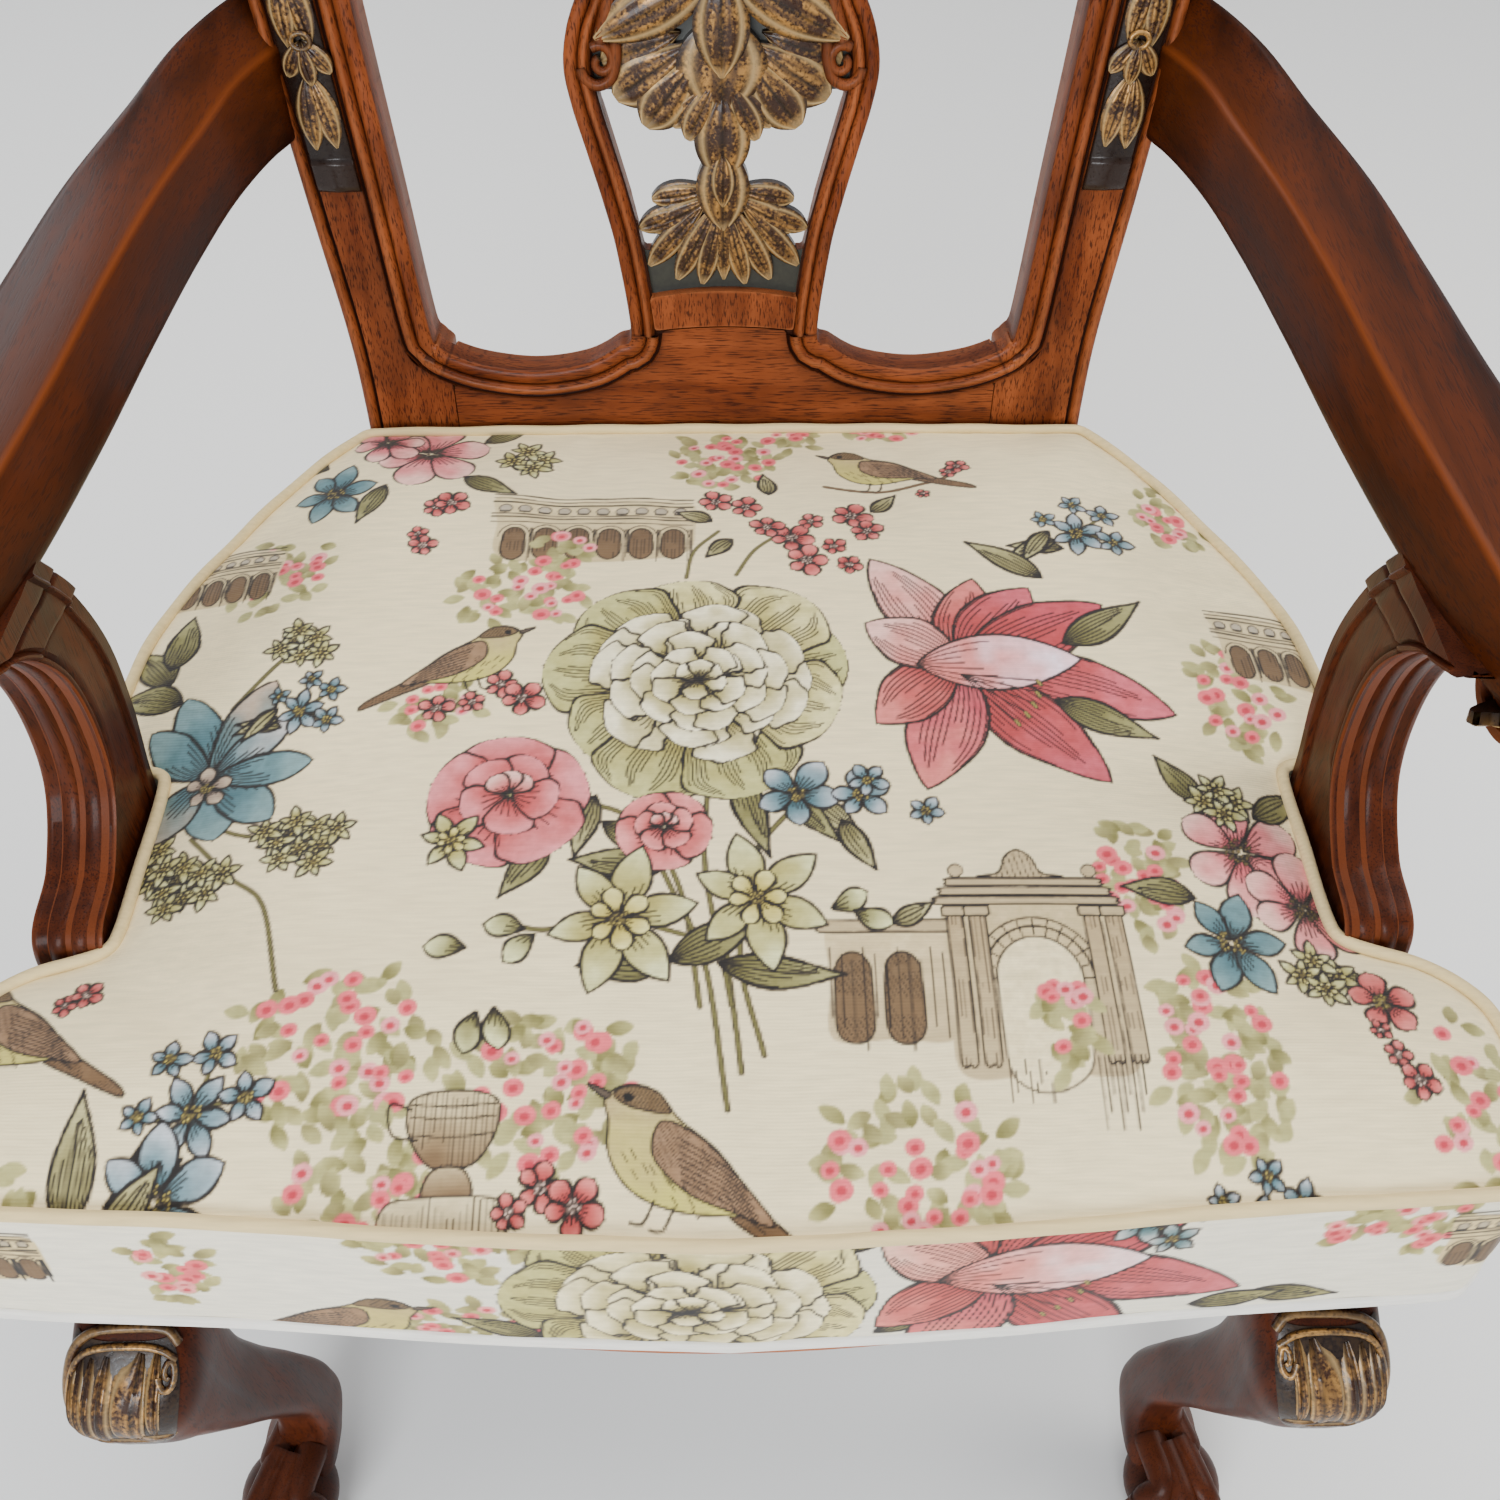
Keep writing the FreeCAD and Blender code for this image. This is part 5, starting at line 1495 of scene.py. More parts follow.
# Crest rail
crest_pile = Pile()
board(crest_pile, -288, 288, 455, 545,
      lambda x, v: v - np.where(np.abs(x) < 103, 462.2, np.where(np.abs(x) > 200, 478.2, 440.0)), 30)
for flip in (False, True):
    moulding(crest_pile, around[crest_at:post_at + 1], away[crest_at:post_at + 1], INNER_PROFILE, flip)
    moulding(crest_pile, right_edge[crown_at:], edge_in[crown_at:], OUTER_PROFILE, flip)
crest = crest_pile.build("crest_moulded", level_wood)
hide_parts("crest_rail")

# Splat: moulded edges, an ebonised ground, and open either side of the carved tail
BAND = 15.5
xs, vs = np.arange(-100, 100.1, 2.0), np.arange(58, 464.1, 2.0)
fx, fv = np.meshgrid(xs, vs)
half_here = edge_at(fv, SPLAT_EDGE)
slope_here = np.abs(np.gradient(edge_at(vs, SPLAT_EDGE), vs))[:, None]
from_edge = (half_here - np.abs(fx)) / np.sqrt(1 + slope_here**2)
hole = np.minimum.reduce([from_edge - BAND, fv - 113.0, 205.0 - fv])
whole_splat = np.minimum.reduce([from_edge - 0.4, fv - seam_v(fx) - 0.25, 461.8 - fv, -hole])
splat_pile = Pile()
# The splat's sunk core is darkened as painted shade.
sawn_board(splat_pile, xs, vs, whole_splat, even_face(-10.4, 0.6), 20)
for flip in (False, True):
    moulding(splat_pile, around[:crest_at + 1], away[:crest_at + 1], SPLAT_PROFILE, flip)
foot_top = 86.0 + 4.0 * (1 - np.minimum(1, np.abs(fx) / 42) ** 2)
foot_level = np.minimum.reduce([from_edge - 15.2, foot_top - fv, fv - seam_v(fx) - 0.3])
sawn_board(splat_pile, xs, vs, foot_level, even_face(GROUND, 0.0), 12)
splat = splat_pile.build("splat_moulded", upright_wood)
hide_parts("splat")
ground_pile = Pile()
plate(ground_pile, xs, vs, np.minimum.reduce([whole_splat, from_edge - BAND + 0.6, fv - 84.0, 448.0 - fv]),
        -9.9)
ground_pile.build("splat_sunk_ground", ebonised, sharp=0)

# ---------------------------------------------------------------- Carving on the splat
# Overlapping pointed leaves and lobes, cut in the solid, stained dark and rubbed with old gold.


def carved_leaf(pile, x, v, angle, length, width, base, rise, thick=7.0, fat=0.55, point=0.75, curl=0.0,
        vein=0.9,
        gold=0.9, rows=22, across=15, place=None, droop=0.35, flutes=0.35):
    """A carved leaf lying on the face: root, direction, size, and how far it stands out."""
    place = place or on_back
    s = np.linspace(0, 1, rows)
    t = np.linspace(-1, 1, across)
    belly = np.clip(s, 0.012, 0.988) ** (math.log(0.5) / math.log(fat))
    half = np.maximum(0.35, width / 2 * np.sin(np.pi * belly) ** point)
    ss, tt = np.meshgrid(s, t, indexing="ij")
    hh = half[:, None] * tt
    along = ss * length
    side = hh + curl * length * ss**2
    px = x + along * math.cos(angle) - side * math.sin(angle)
    pv = v + along * math.sin(angle) + side * math.cos(angle)
    swell = np.sin(np.pi * np.clip(0.12 + 0.8 * ss, 0, 1)) ** 0.7 * (1 - droop * ss)
    lift = base + rise * swell * (1 - 0.6 * np.abs(tt) ** 2.2)
    lift = lift - vein * np.exp(-((tt / 0.13) ** 2)) * (ss < 0.93)
    lift = lift + flutes * np.cos(tt * 13.0 + 2.0 * ss) * (1 - 0.5 * ss)
    top = place(px.ravel(), pv.ravel(), lift.ravel())
    low = place(px[:, [0, -1]].ravel(), pv[:, [0, -1]].ravel(), (lift[:, [0, -1]] - thick).ravel())
    faces = web(rows, across, shut_round=False)
    n = rows * across
    for r in range(rows - 1):
        faces.append([r * across, (r + 1) * across, n + 2 * (r + 1), n + 2 * r])
        faces.append([(r + 1) * across - 1, n + 2 * r + 1, n + 2 * (r + 1) + 1, (r + 2) * across - 1])
        faces.append([n + 2 * r, n + 2 * (r + 1), n + 2 * (r + 1) + 1, n + 2 * r + 1])
    faces = [face[::-1] for face in faces]
    # Painted shade: darker at the leaf's edges, down its sunk vein and at its root where it tucks under.
    edge = np.clip((np.abs(tt) - 0.80) / 0.2, 0, 1) * 0.65
    dark = np.maximum(edge, np.exp(-((tt / 0.10) ** 2)) * 0.75 * (ss < 0.9))
    dark = np.maximum(dark, np.clip(1 - ss * 7, 0, 1) * 0.8)
    # Rub wear with painted highlight: a pale line just inside each edge and across the tip.
    wear_highlight_share = np.exp(-(((np.abs(tt) - 0.72) / 0.10) ** 2)) * 0.55 + 0.35 * np.clip((ss - 0.86) / 0.1, 0,
            1) * (np.abs(tt) < 0.8)
    lanes = 0.5 + 0.5 * np.sin(tt * 15 + 4 * ss + x * 0.7 + v * 0.3)
    share = gold * np.clip(0.12 + 1.05 * lanes * (0.35 + 0.65 * np.sin(np.pi * ss) ** 0.8), 0, 1)
    tone = np.stack([dark.ravel(), wear_highlight_share.ravel(), share.ravel()], 1)
    # The side walls under the leaf get painted shade.
    wall_shade = np.tile([0.9, 0.0, 0.1], (2 * rows, 1))
    pile.add(np.vstack([top, low]), faces, np.vstack([tone, wall_shade]))


def bead_line(pile, points, radius, gold=0.0, place=None, around=9, taper=1.0):
    """A round bead following a curve on the face; points are (across, up, out)."""
    place = place or on_back
    path = smooth_run(points, 1.6)
    centre = place(path[:, 0], path[:, 1], path[:, 2])
    out = unit(place(path[:, 0], path[:, 1], path[:, 2] + 1.0) - centre)
    size = np.linspace(1, taper, len(path))[:, None, None] * radius / 1000
    rings = rings_round(centre, unit(np.gradient(centre, axis=0)), out, size, around)
    a = np.linspace(0, math.tau, around, endpoint=False)
    shade = np.tile(np.clip(-np.sin(a), 0, 1) * 0.8, len(path))
    # Rub wear with painted highlight along the top of the bead.
    wear_highlight_share = np.tile(np.clip(np.sin(a) - 0.75, 0, 1) * 1.2, len(path)) * 0.5
    values = np.stack([shade, wear_highlight_share, np.full(len(shade), gold)], 1)
    pile.add(rings, ring_faces(len(path), around), values)


carving = Pile()
for args in (
    # hanging skirt of long lobes over the dark panel
    (-4, 142, -2.05, 52, 15, -7.5, 4.2), (-10, 143, -2.3, 52, 15, -8.5, 4.0),
    (-6, 146, -2.62, 42, 17, -9.2, 4.4), (-2, 140, -1.80, 48, 14, -6.8, 4.2),
    (-16, 140, -2.75, 36, 15, -9.6, 4.0), (-8, 150, -2.95, 34, 15, -9.6, 4.0),
    # small lobes beside the tail
    (-3, 214, -2.02, 38, 17, -3.0, 3.6), (-5, 212, -2.30, 34, 15, -4.2, 3.2),
    # fan of broad round lobes
    (-12, 226, -2.24, 50, 28, -4.6, 4.6), (-16, 231, -2.55, 52, 30, -5.6, 4.6),
    (-22, 236, -2.80, 46, 28, -6.6, 4.6),
):
    x, v, angle, length, width, base, rise = args
    fat = 0.66 if v > 205 else 0.6
    carved_leaf(carving, x, v, angle, length, width, base, rise, 6.0, fat, 0.55, 0.0, 0.5)
# big drooping leaf at each side of the top
carved_leaf(carving, -2, 272, -2.52, 76, 30, -1.0, 6.5, 8.0, 0.5, 0.7, -0.10, 0.0, rows=34, across=21)
carving.mirror()
DOWN, UP = -math.pi / 2, math.pi / 2
carved_leaf(carving, 0, 158, DOWN, 62, 15, -7.0, 4.4, 6.0, 0.6, 0.7, 0.0, 0.4)
for v, length, width, base, rise in ((246, 52, 50, -3.0, 4.8), (205, 50, 32, -4.0, 5.0),
        (177, 50, 31, -4.6, 4.4),
        (172, 30, 15, -2.0, 3.6), (268, 54, 31, -0.5, 6.5)):
    carved_leaf(carving, 0, v, DOWN, length, width, base, rise, 9.0, 0.5, 0.7, 0.0, 0.3, rows=30, across=21)
# upper half: a rising stem of paired leaves and a fan under the crest
for k, (v, spread, length, width) in enumerate(((276, 0.9, 40, 17), (300, 0.75, 44, 17),
        (352, 0.8, 44, 18), (376, 0.7, 46, 18))):
    for sign in (1, -1):
        carved_leaf(carving, sign * 3, v, UP - sign * spread, length, width, -6.0 + 0.6 * k, 4.6, 7.0,
                0.55, 0.7,
                sign * 0.18, 0.7)
for v, length, width in ((284, 52, 20), (326, 50, 17), (366, 46, 20)):
    carved_leaf(carving, 0, v, UP, length, width, -3.5, 5.0, 8.0, 0.5, 0.7)
for k in range(7):
    carved_leaf(carving, 0, 400, UP + (k - 3) * 0.34, 56 - 3 * abs(k - 3), 19,
            -6.0 + 0.5 * (3 - abs(k - 3)), 5.0, 7.0,
            0.66, 0.55, 0.0, 0.6)
carving.build("splat_carving", gilt, sharp=55)

# Scrolled inner rails of the splat, ending in volutes over the widest part
scrolls = Pile()
for offset, radius in ((0.0, 4.4), (8.6, 3.6)):
    rail_line = [(-66 + offset, 232, -3.2), (-61.5 + offset, 246, -3.0), (-57 + offset, 262, -3.0),
            (-51.5 + offset, 285, -3.0),
            (-46 + offset * 0.8, 318, -3.2), (-45 + offset * 0.8, 345, -3.4), (-52 + offset, 382, -3.4),
            (-66 + offset, 425, -3.4), (-76 + offset, 460, -3.4)]
    bead_line(scrolls, rail_line, radius)
volute = []
for k in range(15):
    a, r = math.radians(52 + 26 * k), 9.0 - 0.45 * k
    volute.append((-69.5 - r * math.cos(a) * 0.9 + 4, 222 + r * math.sin(a), -3.2 + 0.12 * k))
bead_line(scrolls, volute, 3.4, taper=0.7)
hook = [(-57.4, 232, -3.0), (-58, 222, -3.0), (-61, 213, -2.8), (-68, 209.5, -2.6), (-74.5, 212.5, -2.4),
        (-77, 219, -2.2)]
bead_line(scrolls, hook, 3.6, taper=0.85)
scrolls.mirror()
scrolls.build("splat_scrolls", upright_wood, sharp=60)

# ---------------------------------------------------------------- Husk strips
# Thin applied strips in the sunk panel of each post, carved with falling husks, gilt on black.


STRIP_FOOT, STRIP_HEAD, STRIP_STEP = 151, 470, 169


def strip_middle(v):
    """The middle of a post's sunk panel at a height, and half its width."""
    inner, outer = edge_at(v, POST_INNER), edge_at(v, POST_OUTER)
    return (inner + 19.5 + outer - 9.5) / 2, (outer - 9.5 - inner - 19.5) / 2


strip = Pile()
rows = np.linspace(STRIP_FOOT, STRIP_HEAD, 240)
profile = []
for v in rows:
    mid, half_w = strip_middle(v)
    lip = np.clip((v - STRIP_FOOT) / 4.0, 0, 1)
    top = -2.6 + (3.6 if v < STRIP_STEP else 2.4) * math.sqrt(max(0.0, 1 - (1 - lip) ** 2))
    ring = [(-half_w, -2.8), (-half_w, top - 0.8), (-half_w + 0.9, top),
            (0, top + (1.2 if v < STRIP_STEP else 0.0)), (half_w - 0.9, top),
            (half_w, top - 0.8), (half_w, -2.8)]
    profile.append([(mid + a, v, b) for a, b in ring])
profile = np.array(profile).reshape(-1, 3)
block = profile[:, 1] < STRIP_STEP
strip.add(on_back(*profile.T), [face[::-1] for face in ring_faces(len(rows), 7)],
        np.stack([np.where(block, 0.6, 0.82), np.zeros(len(profile)), np.where(block, 0.0, 0.05)], 1))
for k in range(6):
    v = 214 + 54 * k
    mid, _ = strip_middle(v)
    fall = DOWN - 0.075
    for sign in (1, -1):
        carved_leaf(strip, mid + 1.0 * sign, v + 2, fall + 0.22 * sign, 40, 15, -0.6 + 0.5 * (sign > 0),
                4.2, 4.0, 0.52, 0.7,
                -0.10 * sign, 0.5, 1.0)
        carved_leaf(strip, mid + 0.5 * sign, v + 20, fall + 0.62 * sign, 21, 11, 1.2, 3.4, 4.0, 0.6, 0.55,
                -0.05 * sign, 0.4, 1.0)
    carved_leaf(strip, mid, v + 20, fall, 23, 10, 2.0, 3.6, 5.0, 0.62, 0.6, 0.0, 0.3, 0.95)
    cup = [(mid + 5.2 * math.cos(a), v + 20 + 4.2 * math.sin(a), 3.2) for a in np.linspace(0, math.tau, 13)]
    bead_line(strip, cup, 1.5, 0.9)
for side, flipped in SIDES:
    husks = strip.build(side + "_husks", gilt, sharp=55, flipped=flipped)
    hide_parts(side + "_husk_strip")

# ---------------------------------------------------------------- Arms
# Each arm is cut from one thick piece: a steep inner face, a broad outer one sloping away from
# a ridge, and a rolled-over hand with a leaf carved beneath. It is dowelled to the post.

ARM_STATIONS = [
    (322, 234, 656, 234, 704, 251, 737, 249, 677), (296, 238, 656, 244, 706, 268, 733, 262, 684),
    (272, 243, 659, 252, 706, 281, 728, 274, 688), (225, 252, 661, 260, 704, 299, 716, 290, 687),
    (170, 259, 660, 268, 703, 316, 706, 306, 679), (100, 264, 659, 274, 701, 325, 699, 315, 670),
    (20, 268, 658, 277, 699, 331, 695, 321, 664), (-50, 274, 657, 282, 697, 340, 692, 332, 660),
    (-100, 282, 655, 288, 692, 348, 688, 342, 654), (-128, 291, 652, 295, 683, 348, 678, 343, 650)]


def eased(corners, radii, per=5):
    """A closed section through corner points, each rounded by its own radius."""
    corners = [np.array(c, float) for c in corners]
    out = []
    for k, c in enumerate(corners):
        before, after = corners[k - 1], corners[(k + 1) % len(corners)]
        r = radii[k]
        a = c + (before - c) / np.linalg.norm(before - c) * r
        b = c + (after - c) / np.linalg.norm(after - c) * r
        for t in np.linspace(0, 1, per):
            out.append((1 - t) ** 2 * a + 2 * t * (1 - t) * c + t * t * b)
    return np.array(out)


ARM_ROUNDING = (7.0, 3.2, 9.0, 8.0)
arm_pile = Pile()
arm_rings, arm_tones = [], []
for row in even(ARM_STATIONS, 130):
    ring = eased(row[1:].reshape(4, 2), ARM_ROUNDING)
    middle, half = (row[3] + row[5]) / 2, max(8.0, (row[5] - row[3]) / 2)
    crown = 1.6 * (1 - np.clip(np.abs(ring[:, 0] - middle) / half, 0, 1) ** 2)
    ring[5:15, 1] += crown[5:15]
    arm_rings.append(np.stack([ring[:, 0], np.full(20, row[0]), ring[:, 1]], 1))
    tone = np.zeros((20, 3))
    # Rub wear with painted highlight along the sharp arris between the inner face and the top; painted
    # shade along the lower inner corner.
    tone[5:10, 1] = (0.2, 0.5, 0.75, 0.5, 0.2)
    tone[0:4, 0] = 0.25
    arm_tones.append(tone)
arm_pile.add(in_chair(arm_rings), ring_faces(130, 20), np.vstack(arm_tones))


def band_roll(pile, path, x0, x1, thick):
    """A wide band of even thickness rolled along a path in the side view."""
    path = smooth_run(path, 1.5)
    normal = -outline_normals(path, False)
    size = np.linspace(1.0, 0.55, len(path))
    section = [(x0, 0.28), (x0 + 0.8, 0.44), (x0 + 3, 0.5), (x1 - 3, 0.5), (x1 - 0.8, 0.44), (x1, 0.28),
            (x1, -0.5), (x0, -0.5)]
    rings = []
    for p, n, s in zip(path, normal, size):
        rings.append([(x, p[0] + n[0] * h * thick * s, p[1] + n[1] * h * thick * s) for x, h in section])
    pile.add(in_chair(rings), ring_faces(len(path), 8), (0, 0, 0))


hand_path = [(-96, 684), (-112, 685), (-128, 681), (-138, 672), (-141, 660), (-136, 648), (-124, 643),
        (-111, 645), (-103.5, 655), (-106, 667),
        (-114, 674), (-124, 672), (-128, 664), (-123, 657), (-117, 660)]
band_roll(arm_pile, hand_path, 292, 348, 7.0)
# The core filling the scroll's eye is darkened as painted shade.
core = [(x, -121 + 16.5 * math.cos(a), 663 + 16.5 * math.sin(a))
        for x in (295.0, 345.0) for a in np.linspace(0, math.tau, 28, endpoint=False)]
arm_pile.add(in_chair(core), ring_faces(2, 28), (0.7, 0, 0))
for side, flipped in SIDES:
    arm = arm_pile.build(side + "_arm_shaped", along_wood, sharp=38, flipped=flipped)
    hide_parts(side + "_arm")


def under_hand(px, pv, h):
    """The hollow under the hand: across the arm, then round the scroll from its front to its back."""
    a = np.radians(-228 + 1.35 * pv)
    r = 22.5 + h
    return np.stack(drawn(318 + px, -118 + r * np.cos(a), 665 + r * np.sin(a)), axis=-1)


hand_leaf = Pile()
for sign in (1, -1):
    for k, (v, lean, length, width) in enumerate(((128, 0.12, 62, 22), (122, 0.36, 52, 20),
            (112, 0.62, 40, 17))):
        carved_leaf(hand_leaf, sign * (3 + 4 * k), v, DOWN + sign * lean, length, width, -2.2, 3.6, 5.0,
                0.6, 0.6, 0.0, 0.6, place=under_hand)
carved_leaf(hand_leaf, 0, 132, DOWN, 74, 20, -1.2, 4.2, 5.0, 0.6, 0.6, 0.0, 0.6, place=under_hand)
for side, flipped in SIDES:
    hand_leaf.build(side + "_hand_leaf", gilt, sharp=55, flipped=flipped)

# ---------------------------------------------------------------- Arm supports
# A curved upright screwed through the side rail. Its concave front edge carries a double
# bead, its back edge a thin raised line, and two stepped collars meet the arm.

SUPPORT_BACK = [(-17, 396), (-17, 480), (-10, 530), (-10, 575), (-24, 622), (-47, 662)]
SUPPORT_FRONT = [(-121, 396), (-121, 481), (-86, 497), (-60, 525), (-53, 565), (-60, 605), (-84, 640),
        (-118, 662)]
SUPPORT_THICK = 34.0


def spread(points, count):
    """The smooth curve through the points, cut into count points evenly spaced."""
    dense = smooth_run(points, 1.0)
    at = np.linspace(0, len(dense) - 1, count)
    return np.stack([np.interp(at, np.arange(len(dense)), dense[:, k]) for k in range(2)], 1)


def support_x(z):
    """The support's inner face, which leans in as it rises."""
    return 288 - 0.063 * (z - 480)


rings_up = 150
back_line = spread(SUPPORT_BACK, rings_up)
front_line = spread(SUPPORT_FRONT, rings_up)
FACE = [(0.0, -1.6), (0.8, -0.5), (2.2, 0.0), (3.8, -0.2), (4.8, -1.4), (5.6, -2.8), (6.6, -2.2),
        (8.5, -1.4)]
FRONT_EDGE = [(0.0, -1.2), (1.2, -0.2), (2.6, 0.2), (4.0, -0.3), (4.9, -1.6), (5.6, -3.2), (6.4, -3.2),
        (7.1, -1.6), (8.4, -0.3), (10.4, 0.5),
        (12.6, 0.7), (14.6, 0.2), (16.0, -1.0), (17.0, -3.4)]
BACK_FACE = [(13.6, -2.4), (12.8, -1.3), (12.0, -0.5), (11.0, -0.3), (10.2, -0.9), (9.4, -1.6),
        (5.0, -1.9), (1.6, -2.2), (0.5, -3.2), (0.0, -4.6)]
support = Pile()
all_rings, all_tones = [], []
for k in range(rings_up):
    f, b = front_line[k], back_line[k]
    run_across = b - f
    width = np.linalg.norm(run_across)
    run_across = run_across / width
    share = min(1.0, width / 46.0)
    marks = [(d * share, h) for d, h in FACE]
    marks += [(marks[-1][0] * (1 - t) + (width - 13.6 * share) * t,
            -2.2 + 0.8 * (2 * t - 1) ** 2) for t in (0.2, 0.4, 0.6, 0.8)]
    marks += [(width - e * share, h) for e, h in BACK_FACE]
    rise = k / (rings_up - 1)
    collar = sum(1.7 / (1 + math.exp(-(rise - at) * 260)) for at in (0.83, 0.93))
    seam = max(math.exp(-((rise - at) / 0.006) ** 2) for at in (0.825, 0.925))
    ring, tone = [], []
    for inner in (True, False):
        for d, h in (marks if inner else marks[::-1]):
            y, z = f + run_across * d
            inner_x = support_x(z)
            out = h + collar - 1.9 * seam - (1.7 if rise < 0.825 else 0.0)
            x = inner_x - out if inner else inner_x + SUPPORT_THICK + out
            ring.append((x, y, z))
            # Painted shade in the low parts of the profile and in the sunk lines at the collar steps; rub
            # wear with painted highlight on its highest parts.
            dark = min(1.0, max(0.0, (-2.3 - h) / 1.2)) * 0.85
            tone.append((max(dark, 0.85 * seam), 0.12 if h > -0.35 else 0.0, 0.0))
    for w, h in FRONT_EDGE[::-1] + [(SUPPORT_THICK - w, h) for w, h in FRONT_EDGE[1:]]:
        y, z = f - run_across * h
        ring.append((support_x(z) + SUPPORT_THICK - w, y, z))
        # Painted shade in the grooves between the front edge's beads.
        tone.append((min(1.0, max(0.0, (-1.9 - h) / 1.0)) * 0.9, 0.0, 0.0))
    all_rings.append(ring)
    all_tones.append(tone)
support.add(in_chair(all_rings), ring_faces(rings_up, len(all_rings[0])),
        np.array(all_tones).reshape(-1, 3))
for side, flipped in SIDES:
    made = support.build(side + "_support_moulded", shaded_wood, sharp=34, flipped=flipped)
    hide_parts(side + "_arm_support")

# ---------------------------------------------------------------- Front legs
# Cabriole legs cut from one thick blank each: a strong knee carved with a scroll and ribbed
# lobes, rubbed with gold, a slender ankle, and a claw gripping a ball. Mortised for the rails.

LEG_STATIONS = [(374, 278, -211, 56, 56), (356, 280, -232, 60, 70), (335, 282, -248, 63, 76),
        (310, 283, -253, 60, 68), (270, 281, -248, 50, 54),
        (220, 277, -236, 42, 45), (160, 271, -219, 36, 38), (100, 268, -207, 34, 36),
        (70, 270, -209, 38, 40), (46, 278, -222, 48, 50)]
LEG_BLOCK = (250, 306, -239, -183, 374, 440)
LEG_SQUARENESS = 3.4


def leg_section(cx, cy, w, d, angles, grow=0.0):
    """Points round a level section: a square with soft corners."""
    c, s = np.cos(angles), np.sin(angles)
    power = 2 / LEG_SQUARENESS
    x = np.sign(c) * np.abs(c) ** power * (w / 2 + grow)
    y = np.sign(s) * np.abs(s) ** power * (d / 2 + grow)
    return cx + x, cy + y


LEG_AROUND = 64
leg_angles = np.linspace(0, math.tau, LEG_AROUND, endpoint=False)
leg_rows = even(LEG_STATIONS, 170)
leg = Pile()
rings = [np.stack([*leg_section(*row[1:], leg_angles), np.full(LEG_AROUND, row[0])], 1) for row in leg_rows]
leg.add(in_chair(rings), ring_faces(len(rings), LEG_AROUND), (0, 0, 0))
*sides, z0, z1 = LEG_BLOCK
block = [soft_box(*sides, z, 2.5) for z in (z0 - 4, z0 + 2, z1 - 0.5)]
leg.add(in_chair(block), ring_faces(3, 20), (0.1, 0, 0))


def limb(pile, path, radii, tone=(0, 0, 0), around=12):
    """A rounded limb along a path in drawing millimetres, its thickness changing on the way."""
    rows = np.hstack([np.array(path, float), np.array(radii, float)[:, None]])
    rows = smooth_run(rows, 1.6)
    centre, radius = rows[:, :3], rows[:, 3]
    tangent = unit(np.gradient(centre, axis=0))
    rings = rings_round(centre, tangent, [0.31, 0.22, 0.93], radius[:, None, None], around)
    rings[:, 2] = np.maximum(rings[:, 2], 0.0)
    pile.add(in_chair(rings), ring_faces(len(rows), around), tone)


ball_x, ball_y, ball_z, ball_r = 284.0, -248.0, 30.0, 30.0
lat, lon = np.linspace(-math.pi / 2, math.pi / 2, 22), np.linspace(0, math.tau, 40, endpoint=False)
ball = [(ball_x + ball_r * math.cos(a) * math.cos(b), ball_y + ball_r * math.cos(a) * math.sin(b),
        max(0.0, ball_z + ball_r * math.sin(a))) for a in lat for b in lon]
leg.add(in_chair(ball), web(22, 40), (0.15, 0, 0))
for heading in (-100, -50, -150, 70):
    hx, hy = math.cos(math.radians(heading)), math.sin(math.radians(heading))
    out = lambda r, z: (ball_x + hx * r, ball_y + hy * r, z)
    ankle = (276 + hx * 11, -221 + hy * 13, 62)
    # The toes and knuckles carry rub wear with painted highlight.
    limb(leg, [ankle, out(15, 60), out(26, 50), out(31, 37), out(32, 25), out(30, 13), out(26, 5)],
         [10.5, 9.5, 7.6, 6.6, 5.8, 4.6, 2.2], (0.05, 0.08, 0))
    limb(leg, [out(30, 42), out(33.5, 38), out(33.5, 33)], [5.8, 6.4, 5.6], (0.0, 0.3, 0))


def on_knee(px, pv, h):
    """The knee's front: across it from its middle, down it from its top, and out from it."""
    z = 372 - np.asarray(pv, float)
    rows_up = leg_rows[::-1]
    cx, cy, w, d = (np.interp(z, rows_up[:, 0], rows_up[:, k]) for k in (1, 2, 3, 4))
    angle = -math.pi / 2 + np.asarray(px, float) / 44.0
    return np.stack(drawn(*leg_section(cx, cy, w, d, angle, h), z + 0.55 * h), axis=-1)


knee = Pile()
# scroll eye and the C-scroll that runs across the top of the knee
eye = []
for k in range(13):
    a, r = math.radians(40 * k), 8 - 0.55 * k
    eye.append((-21 + r * math.cos(a), 19 + r * math.sin(a) * 0.8, 0.8))
bead_line(knee, eye, 1.9, 0.85, place=on_knee, taper=0.7)
bead_line(knee, [(-30, 12, 0.6), (-18, 7, 1.0), (0, 5.5, 1.2), (20, 8, 1.2), (36, 15, 1.2), (45, 28, 0.8),
        (46, 44, 0.4)], 2.4, 0.25, place=on_knee)
bead_line(knee, [(-28, 16, 0.6), (-14, 11.5, 1.0), (2, 10, 1.2), (20, 12.5, 1.2), (33, 19, 1.0),
        (40, 31, 0.8), (41, 46, 0.4)], 1.7, 0.8, place=on_knee)
for k in range(6):
    carved_leaf(knee, -13 + 9.2 * k, 11 + 0.9 * k, math.radians(76 + 2.0 * k), 38 + 3.6 * k, 10.4, -1.4,
            4.8, 4.5, 0.42, 0.32, 0.16, 0.0, 0.9,
            rows=30, across=13, place=on_knee, flutes=0.5)
for k in range(5):
    carved_leaf(knee, 40 - 10 * k, 66 - 4.5 * k, math.radians(196 - 10 * k), 24, 11, -1.0, 3.2, 4.0, 0.5,
            0.4, 0.2, 0.4, 0.5, rows=18, across=11,
            place=on_knee, flutes=0.3)
sheet_x, sheet_v = np.meshgrid(np.linspace(-34, 48, 42), np.linspace(9, 74, 34))
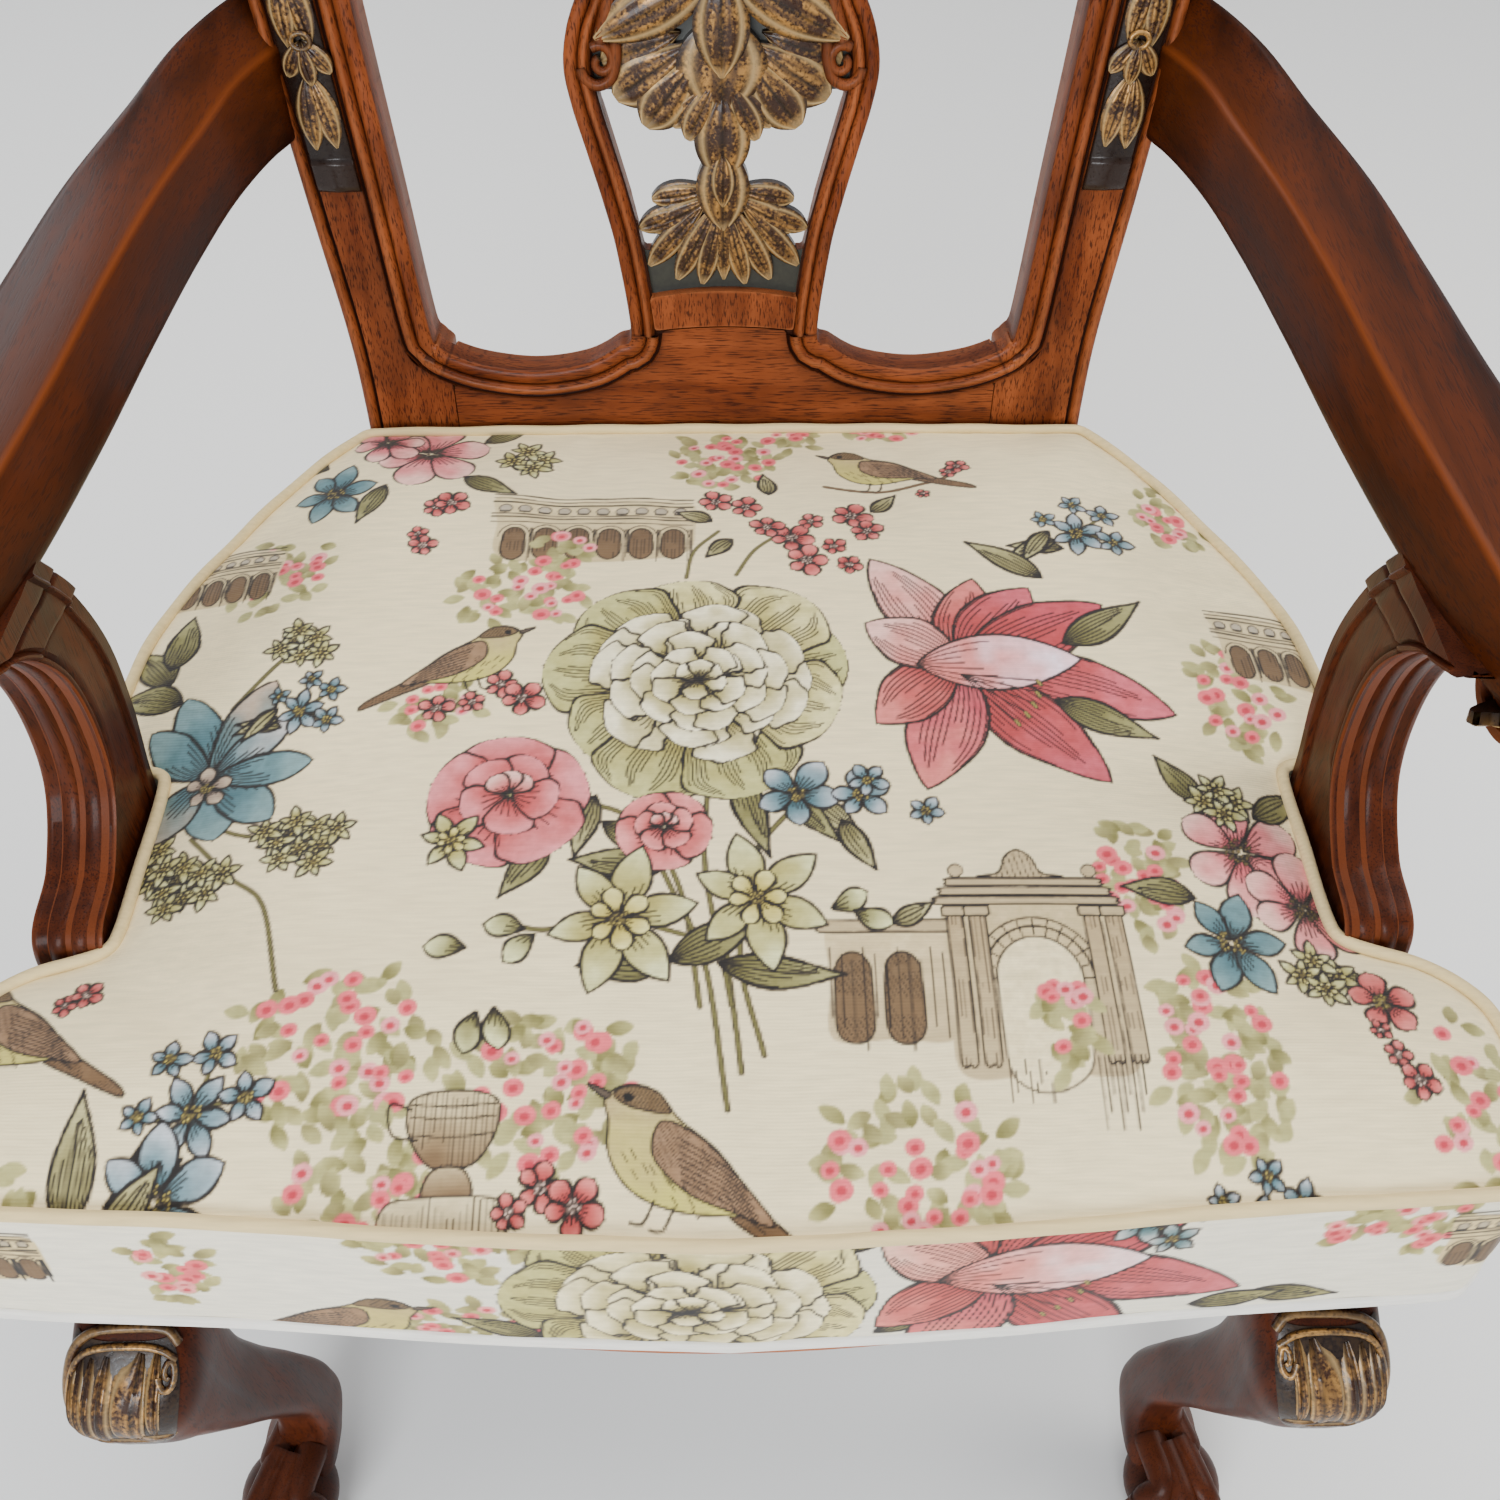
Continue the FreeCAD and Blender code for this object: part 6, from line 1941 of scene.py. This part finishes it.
slant = np.clip((sheet_v - 26 - 0.9 * (sheet_x + 30)) / 26, 0, 9)
keep_level = 1 - ((sheet_x - 8) / 41) ** 4 - ((sheet_v - 40) / 33) ** 4 - slant
flat_pts, ground_faces = clipped_grid(sheet_x[0], sheet_v[:, 0], keep_level)
knee.add(on_knee(flat_pts[:, 0], flat_pts[:, 1], np.full(len(flat_pts), 0.5)), ground_faces, (0.8, 0, 0.2))
for side, flipped in SIDES:
    made = leg.build(side + "_cabriole", shaded_wood, sharp=45, flipped=flipped)
    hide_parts(side + "_front_leg")
    knee.build(side + "_knee_carving", gilt, sharp=55, flipped=flipped)

# ---------------------------------------------------------------- Frame, webbing and fixings
# Rails stained like the rest, corner blocks and dowels of plain pale hardwood, steel screws, jute
# webbing and hessian, and a thin black cloth underneath.


frame_wood = plain_finish("frame_wood", rgb(150, 108, 70), rgb(196, 156, 110), 60.0, 0.62, bump=0.2)
dowel_wood = plain_finish("dowel_wood", rgb(176, 138, 94), rgb(208, 176, 130), 90.0, 0.6)
screw_steel = plain_finish("screw_steel", rgb(150, 150, 152), rgb(186, 186, 188), 200.0, 0.34, 1.0)
webbing = plain_finish("webbing", rgb(148, 126, 92), rgb(188, 166, 128), 700.0, 0.9, bump=0.6)
hessian = plain_finish("hessian", rgb(132, 108, 74), rgb(180, 154, 112), 900.0, 0.95, bump=0.6)
dust_cloth = plain_finish("dust_cloth", rgb(24, 24, 26), rgb(44, 44, 46), 800.0, 0.92, bump=0.3)

NODE_FINISH = {
    "left_side_rail": along_wood, "right_side_rail": along_wood, "left_ear_block": along_wood,
    "right_ear_block": along_wood, "front_rail": level_wood, "rear_rail": level_wood,
    "corner_blocks": frame_wood, "arm_dowels": dowel_wood, "corner_block_screws": screw_steel,
    "arm_support_screws": screw_steel, "webbing_crosswise": webbing, "webbing_lengthwise": webbing,
    "hessian": hessian, "dust_cover": dust_cloth}
for node, finish in NODE_FINISH.items():
    for slot in bpy.data.objects[node].material_slots:
        slot.material = finish
